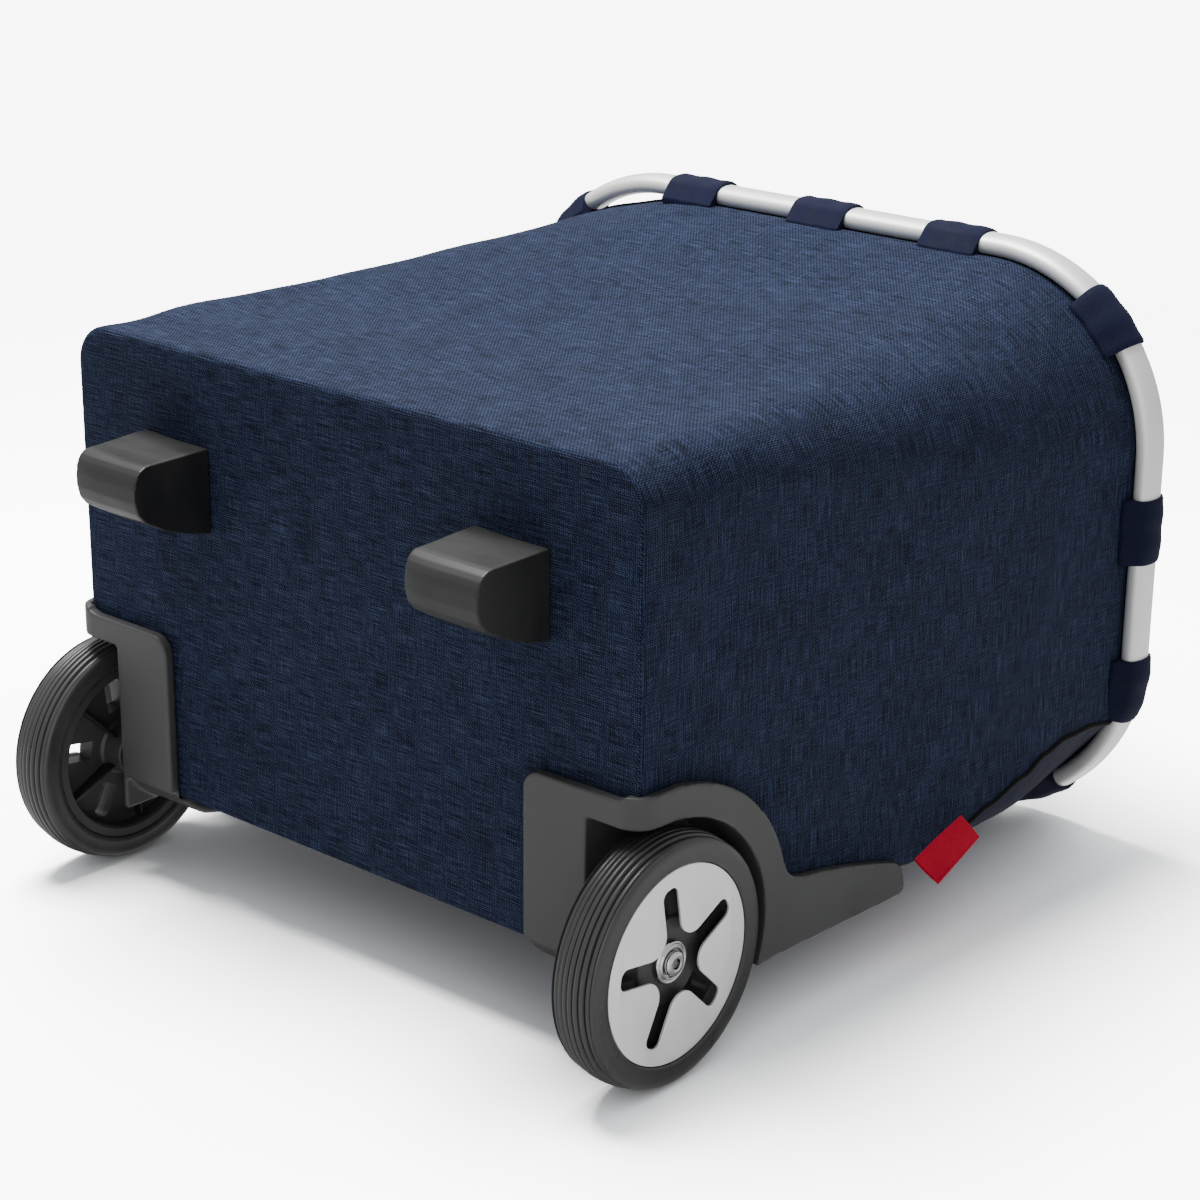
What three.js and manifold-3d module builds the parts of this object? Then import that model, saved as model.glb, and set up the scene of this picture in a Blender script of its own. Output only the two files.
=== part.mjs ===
// A shopping trolley: a fabric bag hung by loops from an oval aluminium frame ring, with two
// wheels in plastic housings at the rear corners, two feet and a telescopic handle behind.
// Millimetres, +Z up, standing on its wheels and feet; the front faces -Y, the handle is at +Y.

import * as THREE from "three";
import { mergeVertices } from "three/addons/utils/BufferGeometryUtils.js";
import ManifoldModule from "manifold-3d";

const wasm = await ManifoldModule();
wasm.setup();
const { Manifold, Mesh: SolidMesh } = wasm;

// ---------------------------------------------------------------- driving dimensions

const GAP = 0.3;                 // clearance between pieces that only touch

const RING_HALF_X = 204.5;       // frame ring, centre line of the tube
const RING_HALF_Y = 148.2;
const RING_CORNER = 94;
const RING_Z = 411;
const TUBE_A = 5.5;              // half thickness of the oval tube, across the ring
const TUBE_C = 9;                // half height of the oval tube
const TUBE_WALL = 1.3;

const BAG_BOTTOM = 46.1;
const BAG_TOP = 399.5;
const BAG_WALL = 2.5;
const BAG_BOTTOM_HALF_X = 180.7;
const BAG_TOP_HALF_X = 199.5;
const BAG_FRONT_BOTTOM = -126.3;
const BAG_FRONT_TOP = -144;
const BAG_REAR_BOTTOM = 107.5;
const BAG_REAR_TOP = 113;
const EAR_START = 250;           // height where the rear corners start to flare to the ring
const EAR_X = 148;
const EAR_Y = 142;

const BOARD_THICK = 3;

const WHEEL_R = 59;
const WHEEL_Y = 99;
const TYRE_IN = 168.5;           // inner and outer faces of the tyre, from the middle plane
const TYRE_OUT = 193.2;
const RIM_R = 46.6;
const DISC_THICK = 1.5;
const HUB_R = 13;
const BOLT_R = 4;
const BUSH_R = 6.2;
const STAR_ARMS = 5;             // arms of the star cut in the disc, and windows of the rim
const STAR_START = 45;           // angle of the first arm, in degrees from the rear
const STAR_HALF = 5;
const STAR_TIP = 38.5;
const HUB_FACE = 187;            // outer face of the rim's hub, recessed behind the disc

const ARCH_IN = 65;              // wheel arch of the housing
const ARCH_OUT = 80.6;
const WELL_X = 152;              // inner wall of the wheel well
const SKIN = 5;                  // thickness of the housing's side plate
const PLATE_LOW = 40;            // underside of the housing's bottom plate

const FOOT_X = 108.2;
const FOOT_LENGTH = 42.8;

const ROD_X = 92;                // telescopic handle
const ROD_Y = 128;
const OUTER_TUBE = { r: 9, bore: 8, low: 116, high: 425 };
const MIDDLE_TUBE = { r: 7.75, bore: 6.75, low: 122, high: 431 };
const INNER_TUBE = { r: 6.5, bore: 5.3, low: 130, high: 458 };
const CROSS_BAR = { x: 150, y0: 114.5, y1: 138, z0: 114, z1: 140 };
const COLLAR = { x: 109, y0: 117.5, y1: 142.2, z0: 402, z1: 420.4, top: 425 };
const GRIP = { x: 116, y0: 115, y1: 141, z0: 437, bar: 449, z1: 475 };

// ---------------------------------------------------------------- materials

const finish = (color, roughness, metalness = 0) =>
  new THREE.MeshStandardMaterial({ color, roughness, metalness });
const FABRIC = finish(0x2c3a56, 0.95);
const WEBBING = finish(0x23283f, 0.9);
const BOARD = finish(0x1d1f24, 0.8);
const TAG = finish(0xb81f2c, 0.8);
const ALU = finish(0xc9cacb, 0.35, 1);
const STEEL = finish(0xb9babb, 0.25, 1);
const PLASTIC = finish(0x37383a, 0.55);
const RUBBER = finish(0x232425, 0.7);

// ---------------------------------------------------------------- solids

// A closed triangle mesh as a solid that booleans can work on, turned to face outwards.
function solid(geometry) {
  const bare = new THREE.BufferGeometry();
  bare.setAttribute("position", geometry.getAttribute("position").clone());
  if (geometry.index) bare.setIndex(geometry.index.clone());
  const merged = mergeVertices(bare, 1e-4);
  const vertProperties = new Float32Array(merged.getAttribute("position").array);
  const build = (order) => new Manifold(new SolidMesh({
    numProp: 3, vertProperties, triVerts: Uint32Array.from(order),
  }));
  const order = [...merged.index.array];
  const body = build(order);
  return body.volume() > 0 ? body : build(order.reverse());
}

function geometryOf(body) {
  const mesh = body.getMesh();
  const geometry = new THREE.BufferGeometry();
  geometry.setAttribute("position", new THREE.BufferAttribute(new Float32Array(mesh.vertProperties), 3));
  geometry.setIndex(new THREE.BufferAttribute(new Uint32Array(mesh.triVerts), 1));
  geometry.computeVertexNormals();
  return geometry;
}

const join = (...bodies) => bodies.reduce((sum, body) => sum.add(body));
const cut = (body, ...tools) => tools.reduce((rest, tool) => rest.subtract(tool), body);

function box(x0, x1, y0, y1, z0, z1) {
  const geometry = new THREE.BoxGeometry(x1 - x0, y1 - y0, z1 - z0);
  geometry.translate((x0 + x1) / 2, (y0 + y1) / 2, (z0 + z1) / 2);
  return solid(geometry);
}

function cylinderZ(x, y, r, z0, z1, sides = 24) {
  const geometry = new THREE.CylinderGeometry(r, r, z1 - z0, sides);
  geometry.rotateX(Math.PI / 2);
  geometry.translate(x, y, (z0 + z1) / 2);
  return solid(geometry);
}

function cylinderX(y, z, r, x0, x1, sides = 24) {
  const geometry = new THREE.CylinderGeometry(r, r, x1 - x0, sides);
  geometry.rotateZ(Math.PI / 2);
  geometry.translate((x0 + x1) / 2, y, z);
  return solid(geometry);
}

function cylinderY(x, z, r, y0, y1, sides = 16) {
  const geometry = new THREE.CylinderGeometry(r, r, y1 - y0, sides);
  geometry.translate(x, (y0 + y1) / 2, z);
  return solid(geometry);
}

const pipeZ = (x, y, r, bore, z0, z1) =>
  cut(cylinderZ(x, y, r, z0, z1), cylinderZ(x, y, bore, z0 - 1, z1 + 1));

const shapeOf = (points) => new THREE.Shape(points.map(([u, v]) => new THREE.Vector2(u, v)));

// An outline in Y and Z, carried along X.
function prismX(points, x0, x1) {
  const geometry = new THREE.ExtrudeGeometry(shapeOf(points), { depth: x1 - x0, bevelEnabled: false });
  geometry.applyMatrix4(new THREE.Matrix4().set(0, 0, 1, x0, 1, 0, 0, 0, 0, 1, 0, 0, 0, 0, 0, 1));
  return solid(geometry);
}

// An outline in X and Y, carried up Z.
function prismZ(points, z0, z1) {
  const geometry = new THREE.ExtrudeGeometry(shapeOf(points), { depth: z1 - z0, bevelEnabled: false });
  geometry.translate(0, 0, z0);
  return solid(geometry);
}

// A profile of radius against x, turned about the wheel's axle.
function turnedX(profile, sides) {
  const points = profile.map(([r, x]) => new THREE.Vector2(r, x));
  const geometry = new THREE.LatheGeometry([...points, points[0]], sides);
  geometry.rotateZ(-Math.PI / 2);
  geometry.translate(0, WHEEL_Y, WHEEL_R);
  return solid(geometry);
}

// Outlines of one point count, stacked and closed at both ends.
function loft(sections) {
  const count = sections[0].length;
  const positions = sections.flat(2);
  const index = [];
  for (let level = 0; level + 1 < sections.length; level += 1) {
    for (let i = 0; i < count; i += 1) {
      const a = level * count + i;
      const b = level * count + ((i + 1) % count);
      index.push(a, b, b + count, a, b + count, a + count);
    }
  }
  const capOf = (section) =>
    THREE.ShapeUtils.triangulateShape(section.map(([x, y]) => new THREE.Vector2(x, y)), []);
  capOf(sections[0]).forEach(([a, b, c]) => index.push(a, c, b));
  const last = (sections.length - 1) * count;
  capOf(sections.at(-1)).forEach(([a, b, c]) => index.push(last + a, last + b, last + c));
  const geometry = new THREE.BufferGeometry();
  geometry.setAttribute("position", new THREE.Float32BufferAttribute(positions, 3));
  geometry.setIndex(index);
  return solid(geometry);
}

const mirrored = (body) => body.mirror([1, 0, 0]);
const arc = (u, v, r, from, to, steps) =>
  Array.from({ length: steps + 1 }, (_, i) => {
    const angle = THREE.MathUtils.degToRad(from + ((to - from) * i) / steps);
    return [u + r * Math.cos(angle), v + r * Math.sin(angle)];
  });

// ---------------------------------------------------------------- bag

const rise = (z) => (z - BAG_BOTTOM) / (BAG_TOP - BAG_BOTTOM);
const mix = THREE.MathUtils.lerp;

// The bag's outline at one height, set outwards by an offset. The front corners round off
// towards the ring; above EAR_START the rear corners flare back to the ring's corner loops.
function bagOutline(z, offset = 0) {
  const t = rise(z);
  const x = mix(BAG_BOTTOM_HALF_X, BAG_TOP_HALF_X, t) + offset;
  const front = mix(BAG_FRONT_BOTTOM, BAG_FRONT_TOP, t) - offset;
  const rear = mix(BAG_REAR_BOTTOM, BAG_REAR_TOP, t) + offset;
  const round = mix(20, 92, Math.max(t, 0) ** 1.3) + offset;
  const ear = Math.max(0, Math.min(1, (z - EAR_START) / (BAG_TOP - EAR_START))) ** 1.2;
  const seam = rear - 7 - 22 * ear;
  const tipX = mix(x - 7, EAR_X + offset, ear);
  const tipY = mix(rear, EAR_Y + offset, ear);
  const half = [
    [112, rear],
    [mix(130, 124, ear), mix(rear, tipY - 6, ear)],
    [mix(140, 130, ear), tipY],
    [tipX, tipY],
    [mix(x - 2, tipX + 9, ear), mix(rear - 2, tipY - 7, ear)],
    [x, seam],
    ...arc(x - round, front + round, round, 0, -90, 8),
  ];
  const right = half.map(([u, v]) => [u, v, z]);
  const left = half.map(([u, v]) => [-u, v, z]).reverse();
  return [...right, ...left].reverse();
}

function bagSolid(offset, low, high) {
  const heights = [low, 100, 170, EAR_START, 290, 330, 365, high];
  return loft(heights.map((z) => bagOutline(z, offset)));
}

// The room that each wheel well takes out of the bag, with some clearance.
function wellRoom() {
  const r = ARCH_IN + 3.6;
  const x0 = WELL_X - 0.6;
  return join(
    cylinderX(WHEEL_Y, WHEEL_R, r, x0, 230, 40),
    box(x0, 230, WHEEL_Y - r, 200, 0, WHEEL_R),
    box(x0, 230, WHEEL_Y, 200, 0, WHEEL_R + r),
    cylinderX(WHEEL_Y, WHEEL_R, HUB_R + 0.6, 130, x0 + 1),
  );
}

const bothSides = (body) => join(body, mirrored(body));
const FOOT_SCREW = [FOOT_X, -60];
const HOUSING_SCREW = [133, 45];
const screwHoles = (r, z0, z1) =>
  bothSides(join(...[FOOT_SCREW, HOUSING_SCREW].map(([x, y]) => cylinderZ(x, y, r, z0, z1, 12))));

function bagShell() {
  const hollow = bagSolid(-BAG_WALL, BAG_BOTTOM + BAG_WALL, BAG_TOP + 5);
  return cut(bagSolid(0, BAG_BOTTOM, BAG_TOP), hollow, bothSides(wellRoom()), screwHoles(2.8, 40, 60));
}

function baseBoard() {
  const z0 = BAG_BOTTOM + BAG_WALL + GAP;
  const room = bagSolid(-BAG_WALL - 1.2, BAG_BOTTOM, BAG_TOP);
  const slab = box(-190, 190, -130, 130, z0, z0 + BOARD_THICK).intersect(room);
  const notch = box(134, 200, WHEEL_Y - ARCH_IN - 6, 200, 0, 100);
  return cut(slab, bothSides(notch), screwHoles(2.8, 40, 60));
}

function sideLabel() {
  const face = [[112, 234], [100, 267], [117, 274], [129, 241]];
  return cut(prismX(face, 190.2, 191.8), bagSolid(0.6, BAG_BOTTOM, BAG_TOP));
}

// ---------------------------------------------------------------- frame ring and its loops

const CORNERS = [[1, 1], [1, -1], [-1, -1], [-1, 1]];
const STRAIGHT_X = RING_HALF_X - RING_CORNER;
const STRAIGHT_Y = RING_HALF_Y - RING_CORNER;

// A station on the ring: the point on the tube's centre line and the outward direction.
const onCorner = (corner, degrees) => {
  const [sx, sy] = CORNERS[corner];
  const angle = THREE.MathUtils.degToRad(degrees);
  const n = [sx * Math.cos(angle), sy * Math.sin(angle)];
  return { p: [sx * STRAIGHT_X + RING_CORNER * n[0], sy * STRAIGHT_Y + RING_CORNER * n[1]], n };
};
const onFront = (x) => ({ p: [x, -RING_HALF_Y], n: [0, -1] });
const onRear = (x) => ({ p: [x, RING_HALF_Y], n: [0, 1] });
const onSide = (side, y) => ({ p: [side * RING_HALF_X, y], n: [side, 0] });

function oval(a, c, sides) {
  return Array.from({ length: sides }, (_, i) => {
    const angle = (2 * Math.PI * i) / sides;
    return [a * Math.sign(Math.cos(angle)) * Math.abs(Math.cos(angle)) ** 0.75, c * Math.sin(angle)];
  });
}

// A counterclockwise profile of outward distance and height, carried through ring stations.
function sweep(stations, profile) {
  const rings = stations.map(({ p, n }) =>
    profile.map(([u, v]) => [p[0] + n[0] * u, p[1] + n[1] * u, RING_Z + v]));
  const count = profile.length;
  const index = [];
  for (let s = 0; s + 1 < rings.length; s += 1) {
    for (let i = 0; i < count; i += 1) {
      const a = s * count + i;
      const b = s * count + ((i + 1) % count);
      index.push(a, b, b + count, a, b + count, a + count);
    }
  }
  const cap = THREE.ShapeUtils.triangulateShape(profile.map(([u, v]) => new THREE.Vector2(u, v)), []);
  const last = (rings.length - 1) * count;
  cap.forEach(([a, b, c]) => index.push(a, c, b, last + a, last + b, last + c));
  const geometry = new THREE.BufferGeometry();
  geometry.setAttribute("position", new THREE.Float32BufferAttribute(rings.flat(2), 3));
  geometry.setIndex(index);
  return solid(geometry);
}

// The tube runs once round, from the butt joint in the middle of the rear bar.
function ringStations(end) {
  const sweepOf = (corner, from, to) =>
    Array.from({ length: 11 }, (_, i) => onCorner(corner, from + ((to - from) * i) / 10));
  return [
    onRear(end),
    ...sweepOf(0, 90, 0),
    ...sweepOf(1, 0, 90),
    ...sweepOf(2, 90, 0),
    ...sweepOf(3, 0, 90),
    onRear(-end),
  ];
}

function frameRing() {
  const tube = sweep(ringStations(GAP), oval(TUBE_A, TUBE_C, 12));
  const bore = sweep(ringStations(GAP / 2), oval(TUBE_A - TUBE_WALL, TUBE_C - TUBE_WALL, 8));
  return cut(tube, bore, collarScrewHoles(2.2));
}

const frameJoiner = () => sweep([onRear(30), onRear(-30)], oval(TUBE_A - 1.7, TUBE_C - 1.7, 8));

// A band of webbing round the tube, with a neck that reaches down to the bag's rim.
function loopBand(stations) {
  const outside = oval(TUBE_A + 1.9, TUBE_C + 1.9, 12);
  const inside = oval(TUBE_A + 0.4, TUBE_C + 0.4, 12);
  const neck = [[-5.6, -4], [-6.6, -4], [-6.9, -TUBE_C], [-6.2, -TUBE_C - 2.2], [-4.4, -TUBE_C - 2.2],
    [-1.2, -TUBE_C - 1.9], [-1.2, -TUBE_C - 1]];
  return cut(join(sweep(stations, outside), sweep(stations, neck)), sweep(stretched(stations), inside));
}

// The same stations, carried a little past both ends.
function stretched(stations) {
  const past = (a, b) => ({
    p: [a.p[0] + (a.p[0] - b.p[0]) * 0.1, a.p[1] + (a.p[1] - b.p[1]) * 0.1], n: a.n,
  });
  return [past(stations[0], stations[1]), ...stations, past(stations.at(-1), stations.at(-2))];
}

const LOOP_HALF = 17;
const frontLoop = (x) => loopBand([onFront(x + LOOP_HALF), onFront(x - LOOP_HALF)]);
const sideLoop = (side, y) =>
  loopBand([onSide(side, y + LOOP_HALF * side), onSide(side, y - LOOP_HALF * side)]);
const cornerLoop = (corner, middle) => loopBand([-9, 0, 9].map((d) => onCorner(corner, middle + d)));

// ---------------------------------------------------------------- wheels

function tyre() {
  const grooves = [];
  for (let k = -2; k <= 2; k += 1) {
    const x = (TYRE_IN + TYRE_OUT) / 2 + k * 3.6;
    grooves.push([WHEEL_R - 0.1, x - 0.9], [WHEEL_R - 1.3, x], [WHEEL_R - 0.1, x + 0.9]);
  }
  const r0 = RIM_R + GAP;
  return turnedX([
    [r0, TYRE_IN], [WHEEL_R - 6, TYRE_IN], [WHEEL_R - 2.6, TYRE_IN + 1], [WHEEL_R - 0.5, TYRE_IN + 3.2],
    ...grooves,
    [WHEEL_R - 0.5, TYRE_OUT - 3.2], [WHEEL_R - 2.6, TYRE_OUT - 1], [WHEEL_R - 6, TYRE_OUT], [r0, TYRE_OUT],
  ], 36);
}

// A point given along and across a radius of the wheel, at one angle.
function onWheel(along, across, degrees) {
  const turn = THREE.MathUtils.degToRad(degrees);
  return [
    WHEEL_Y + along * Math.cos(turn) - across * Math.sin(turn),
    WHEEL_R + along * Math.sin(turn) + across * Math.cos(turn),
  ];
}

const armAngles = Array.from({ length: STAR_ARMS }, (_, i) => STAR_START + (i * 360) / STAR_ARMS);

// One arm: parallel sides and a rounded tip.
function armOutline(start, degrees) {
  const tip = arc(STAR_TIP - 3.5, STAR_HALF - 3.5, 3.5, 0, 90, 3);
  const half = [...tip, [start, STAR_HALF]];
  const other = half.map(([u, v]) => [u, -v]).reverse();
  return [...other, ...half].map(([u, v]) => onWheel(u, v, degrees));
}

// The star: arms joined by concave fillets.
function starOutline() {
  const fillet = 9;
  const between = Math.PI / STAR_ARMS;
  const centre = (STAR_HALF + fillet) / Math.sin(between);
  const degrees = 180 / STAR_ARMS;
  return armAngles.flatMap((angle) => [
    ...armOutline((STAR_HALF + fillet) / Math.tan(between), angle),
    ...arc(centre, 0, fillet, 270 - degrees, 90 + degrees, 5).slice(1, -1)
      .map(([u, v]) => onWheel(u, v, angle + degrees)),
  ]);
}

function wheelRim() {
  const front = TYRE_OUT - 0.6 - DISC_THICK - GAP;
  const body = turnedX([
    [BUSH_R + 0.1, 165], [HUB_R - 1, 165], [HUB_R + 1, 176], [40, 177], [41, TYRE_IN + 1],
    [RIM_R, TYRE_IN + 1], [RIM_R, front],
    [42, front], [40.5, 186], [21, 186], [20, HUB_FACE], [BUSH_R + 0.1, HUB_FACE],
  ], 36);
  return cut(body, ...armAngles.map((angle) => prismX(armOutline(21, angle), 160, 200)));
}

function wheelDisc() {
  const x1 = TYRE_OUT - 0.6;
  const body = cylinderX(WHEEL_Y, WHEEL_R, RIM_R, x1 - DISC_THICK, x1, 48);
  return cut(body, prismX(starOutline(), x1 - 5, x1 + 5));
}

const ring = (inner, outer, x0, x1) => turnedX([[inner, x0], [outer, x0], [outer, x1], [inner, x1]], 24);
const wheelBush = () => ring(BOLT_R + 0.13, BUSH_R, 165, HUB_FACE);
const boltWasher = () => ring(BOLT_R + 0.2, 10.2, HUB_FACE + GAP, HUB_FACE + 1.5);
function axleBolt() {
  const x = HUB_FACE + 1.5 + GAP;
  return turnedX([
    [0, 138], [BOLT_R, 138], [BOLT_R, x], [6.8, x], [6.8, x + 1.8], [5.4, x + 3], [2.2, x + 3.4],
    [1.8, x + 3.4], [1.8, x + 1.5], [0, x + 1.5],
  ], 24);
}
const axleNut = () => cut(
  cylinderX(WHEEL_Y, WHEEL_R, 7.5, 136.5, 142.7, 6),
  cylinderX(WHEEL_Y, WHEEL_R, BOLT_R + 0.15, 130, 150),
);

// ---------------------------------------------------------------- wheel housing

// The side view: a flat front leg, the arch, and the tail that rises along the bag's corner.
function housingOutline() {
  return [
    [18.3, PLATE_LOW], [18.3, 66],
    ...arc(WHEEL_Y, WHEEL_R, ARCH_OUT, 172, 105, 14),
    [83, 138.8], [86.5, 143], [88.9, 150], [91.3, 166], [95.3, 185], [100.3, 204], [104, 216],
    [105.8, 220.2], [109, 223], [114, 224.8], [119, 225.4], [121.6, 224.4], [122.6, 221.5], [122.8, 180], [123.4, 119],
    [WHEEL_Y, WHEEL_R + ARCH_IN + 3], [WHEEL_Y - ARCH_IN - 3, WHEEL_R], [WHEEL_Y - ARCH_IN - 3, PLATE_LOW],
  ];
}

// Everything inside the plane that lies one plate thickness outside the bag's side,
// with a rounded edge where the side turns under the bag.
function insideSkin() {
  const round = 12;
  const face = (z) => BAG_BOTTOM_HALF_X + SKIN + GAP + (BAG_TOP_HALF_X - BAG_BOTTOM_HALF_X) * rise(z);
  const drop = (z) => (z > PLATE_LOW + round ? 0 : round - Math.sqrt(round ** 2 - (PLATE_LOW + round - z) ** 2));
  return loft([PLATE_LOW, 40.5, 41.5, 43, 45, 48, 52, 260].map((z) => {
    const x = face(z) - drop(z);
    return [[100, -10, z], [x, -10, z], [x, 160, z], [100, 160, z]];
  }));
}

function bottomPlate() {
  const edge = [
    [118, 104], [118, 33], ...arc(128, 31.2, 10, 170, 268, 6), [170, 21.2], [180, 19.2], [190, 18.3], [190, 31.3],
    [182, 33.7], [165, 38.4], [158.2, 42.6], [154.8, 48], [154, 56], [154, 104],
  ];
  return prismZ(edge, PLATE_LOW, BAG_BOTTOM - GAP);
}

// The wall that sweeps up behind the bag from the bottom plate.
function rearWall() {
  const curve = [
    [92, PLATE_LOW], [99, 40.7], [105, 43.2], [110.5, 47.6], [116, 54], [121, 62], [123.6, 72], [124, 82], [124, 110],
    [120, 110], [120, 83], [119.6, 73.4], [117.6, 65.2], [113, 57.6], [108, 51.6], [108, BAG_BOTTOM - GAP],
    [92, BAG_BOTTOM - GAP],
  ];
  return prismX(curve, 118, WELL_X + 2);
}

function wheelHousing() {
  const wide = (r, x0, x1) => cylinderX(WHEEL_Y, WHEEL_R, r, x0, x1, 72);
  const sidePlate = prismX(housingOutline(), 176, 210);
  const post = prismX([[106, 131], [106, 219], [118, 219], [124, 131]], 160, 177);
  const tabRecess = box(150, 176, 118, 140, 100, 145);
  const arch = cut(wide(ARCH_IN + 3, WELL_X, 210), wide(ARCH_IN, WELL_X + 3, 211));
  const well = arch.intersect(box(100, 210, 0, 121, PLATE_LOW, 200));
  const web = box(158, 178, 108, 122, 119, 133);
  const boss = wide(HUB_R, 136, WELL_X + 3);
  const standOff = wide(11, WELL_X + 2, 164.6);
  const around = cut(join(sidePlate, post, web, rearWall()), bagSolid(GAP, BAG_BOTTOM - GAP, BAG_TOP));
  const shell = join(around, well, bottomPlate());
  const open = [
    wide(ARCH_IN, WELL_X + 3, 211),
    box(WELL_X + 3, 211, WHEEL_Y - ARCH_IN, 200, 0, WHEEL_R),
    box(WELL_X + 3, 211, WHEEL_Y, 200, 0, 100),
    tabRecess,
    cylinderX(WHEEL_Y, WHEEL_R, 8.2, 130, 143),
    cylinderZ(...HOUSING_SCREW, 1.9, 42, 50, 12),
    cylinderY(168, 127, 1.9, 112, 125),
  ];
  const bored = cut(join(shell.intersect(insideSkin()), boss), ...open);
  return cut(join(bored, standOff), cylinderX(WHEEL_Y, WHEEL_R, BOLT_R + 0.2, 130, 170));
}

// ---------------------------------------------------------------- feet and screws

function foot() {
  const outline = [
    [-81.2, BAG_BOTTOM - GAP], [-81, 12], ...arc(-71, 10, 10, 180, 270, 5), [-64, 0],
    [-58.5, 1.6], [-54, 5.5], [-47, 18], [-42, 32], [-38.8, BAG_BOTTOM - GAP],
  ];
  const body = prismX(outline, FOOT_X - FOOT_LENGTH / 2, FOOT_X + FOOT_LENGTH / 2);
  return cut(body, cylinderZ(...FOOT_SCREW, 1.9, 26, 60, 12));
}

function screwDown(x, y, tip) {
  const seat = BAG_BOTTOM + BAG_WALL + 2 * GAP + BOARD_THICK;
  return join(cylinderZ(x, y, 1.7, tip, seat + 1, 12), cylinderZ(x, y, 4.5, seat, seat + 2, 12));
}

// ---------------------------------------------------------------- telescopic handle

function crossBar() {
  const { x, y0, y1, z0, z1 } = CROSS_BAR;
  const beam = box(-x, x, y0, y1, z0, z1);
  const lip = box(-175.5, 175.5, 118.4, 124, 116, 138);
  const sockets = bothSides(cylinderZ(ROD_X, ROD_Y, OUTER_TUBE.r + 0.25, OUTER_TUBE.low - GAP, 150));
  const hollows = [-46, 0, 46].map((c) => box(c - 18, c + 18, y0 + 3, y1 + 1, z0 + 4, z1 - 4));
  return cut(join(beam, lip), sockets, ...hollows, bothSides(cylinderY(168, 127, 2.2, 112, 130)));
}

const crossBarScrew = () => join(cylinderY(168, 127, 1.7, 113, 125), cylinderY(168, 127, 4, 124.3, 126.6));

const COLLAR_SCREW_X = 60;
const collarScrewHoles = (r) => bothSides(cylinderZ(COLLAR_SCREW_X, RING_HALF_Y, r, RING_Z + 5, 440, 12));

function handleCollar() {
  const { x, y0, y1, z0, z1, top } = COLLAR;
  const block = box(-x, x, y0, y1, z0, z1 + 1);
  const flange = box(-x, x, y0, RING_HALF_Y + TUBE_A, z1, top);
  const holes = bothSides(cylinderZ(ROD_X, ROD_Y, OUTER_TUBE.r + 0.25, 390, 440));
  const pocket = box(-64, 64, y0 + 4, y1 - 4, 390, z1 - 6);
  return cut(join(block, flange), holes, pocket, collarScrewHoles(2.2));
}

const collarScrew = () => join(
  cylinderZ(COLLAR_SCREW_X, RING_HALF_Y, 1.7, 414, COLLAR.top + 1, 12),
  cylinderZ(COLLAR_SCREW_X, RING_HALF_Y, 4, COLLAR.top + GAP, COLLAR.top + 2.4, 12),
);

const outerGuide = () => pipeZ(ROD_X, ROD_Y, 10.6, MIDDLE_TUBE.r + 0.25, OUTER_TUBE.high + GAP, 428.4);
const middleGuide = () => pipeZ(ROD_X, ROD_Y, 9.2, INNER_TUBE.r + 0.25, MIDDLE_TUBE.high + GAP, 435);
const stageTube = ({ r, bore, low, high }) => pipeZ(ROD_X, ROD_Y, r, bore, low, high);

// The outline of the grip seen from above: a bar with round ends.
function pill(x, y0, y1, z0, z1) {
  const r = (y1 - y0) / 2;
  const middle = (y0 + y1) / 2;
  return prismZ([...arc(x - r, middle, r, -90, 90, 8), ...arc(r - x, middle, r, 90, 270, 8)], z0, z1);
}

function handleGrip() {
  const { x, y0, y1, z0, bar, z1 } = GRIP;
  const body = join(
    pill(x - 1.6, y0 + 1.6, y1 - 1.6, z0, z0 + 2),
    pill(x, y0, y1, z0 + 2, z1 - 3),
    pill(x - 1.2, y0 + 1.2, y1 - 1.2, z1 - 3, z1 - 1),
    pill(x - 3, y0 + 3, y1 - 3, z1 - 1, z1),
  );
  return cut(
    body,
    box(-76, 76, 100, 160, 400, bar),
    box(-97, 97, ROD_Y - 4, ROD_Y + 4, bar + 4, 466),
    box(-24.5, 24.5, ROD_Y - 7.5, ROD_Y + 7.5, bar + 10, z1 + 5),
    bothSides(cylinderZ(ROD_X, ROD_Y, INNER_TUBE.r + 0.15, z0 - 1, INNER_TUBE.high + GAP)),
    bothSides(cylinderZ(ROD_X, ROD_Y, 2.4, z0 - 1, 465, 12)),
  );
}

function releaseButton() {
  const key = join(
    box(-24, 24, ROD_Y - 7, ROD_Y + 7, 463, 475.5),
    box(-22.5, 22.5, ROD_Y - 5.5, ROD_Y + 5.5, 475.5, 477),
  );
  const yoke = box(-96, 96, ROD_Y - 3.5, ROD_Y + 3.5, 461, 465.5);
  return join(key, yoke);
}

const releaseRod = () => cylinderZ(ROD_X, ROD_Y, 1.8, 134, 460.7, 10);

class Helix extends THREE.Curve {
  constructor(r, z0, z1, turns) {
    super();
    Object.assign(this, { r, z0, z1, turns });
  }

  getPoint(t) {
    const angle = 2 * Math.PI * this.turns * t;
    const y = ROD_Y + this.r * Math.sin(angle);
    return new THREE.Vector3(this.r * Math.cos(angle), y, mix(this.z0, this.z1, t));
  }
}

function buttonSpring() {
  const wire = new THREE.Shape(oval(0.4, 0.4, 5).map(([u, v]) => new THREE.Vector2(u, v)));
  const path = new Helix(3, GRIP.bar + 4.6, 460.5, 3);
  return solid(new THREE.ExtrudeGeometry(wire, { steps: 36, bevelEnabled: false, extrudePath: path }));
}

// ---------------------------------------------------------------- assembly

const trolley = new THREE.Group();

function add(name, body, material) {
  const mesh = new THREE.Mesh(geometryOf(body), material);
  mesh.name = name;
  trolley.add(mesh);
}

// A piece modelled on the +X side, and its mirror image on the other.
function addPair(name, body, material) {
  add(`${name}_right`, body, material);
  add(`${name}_left`, mirrored(body), material);
}

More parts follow.
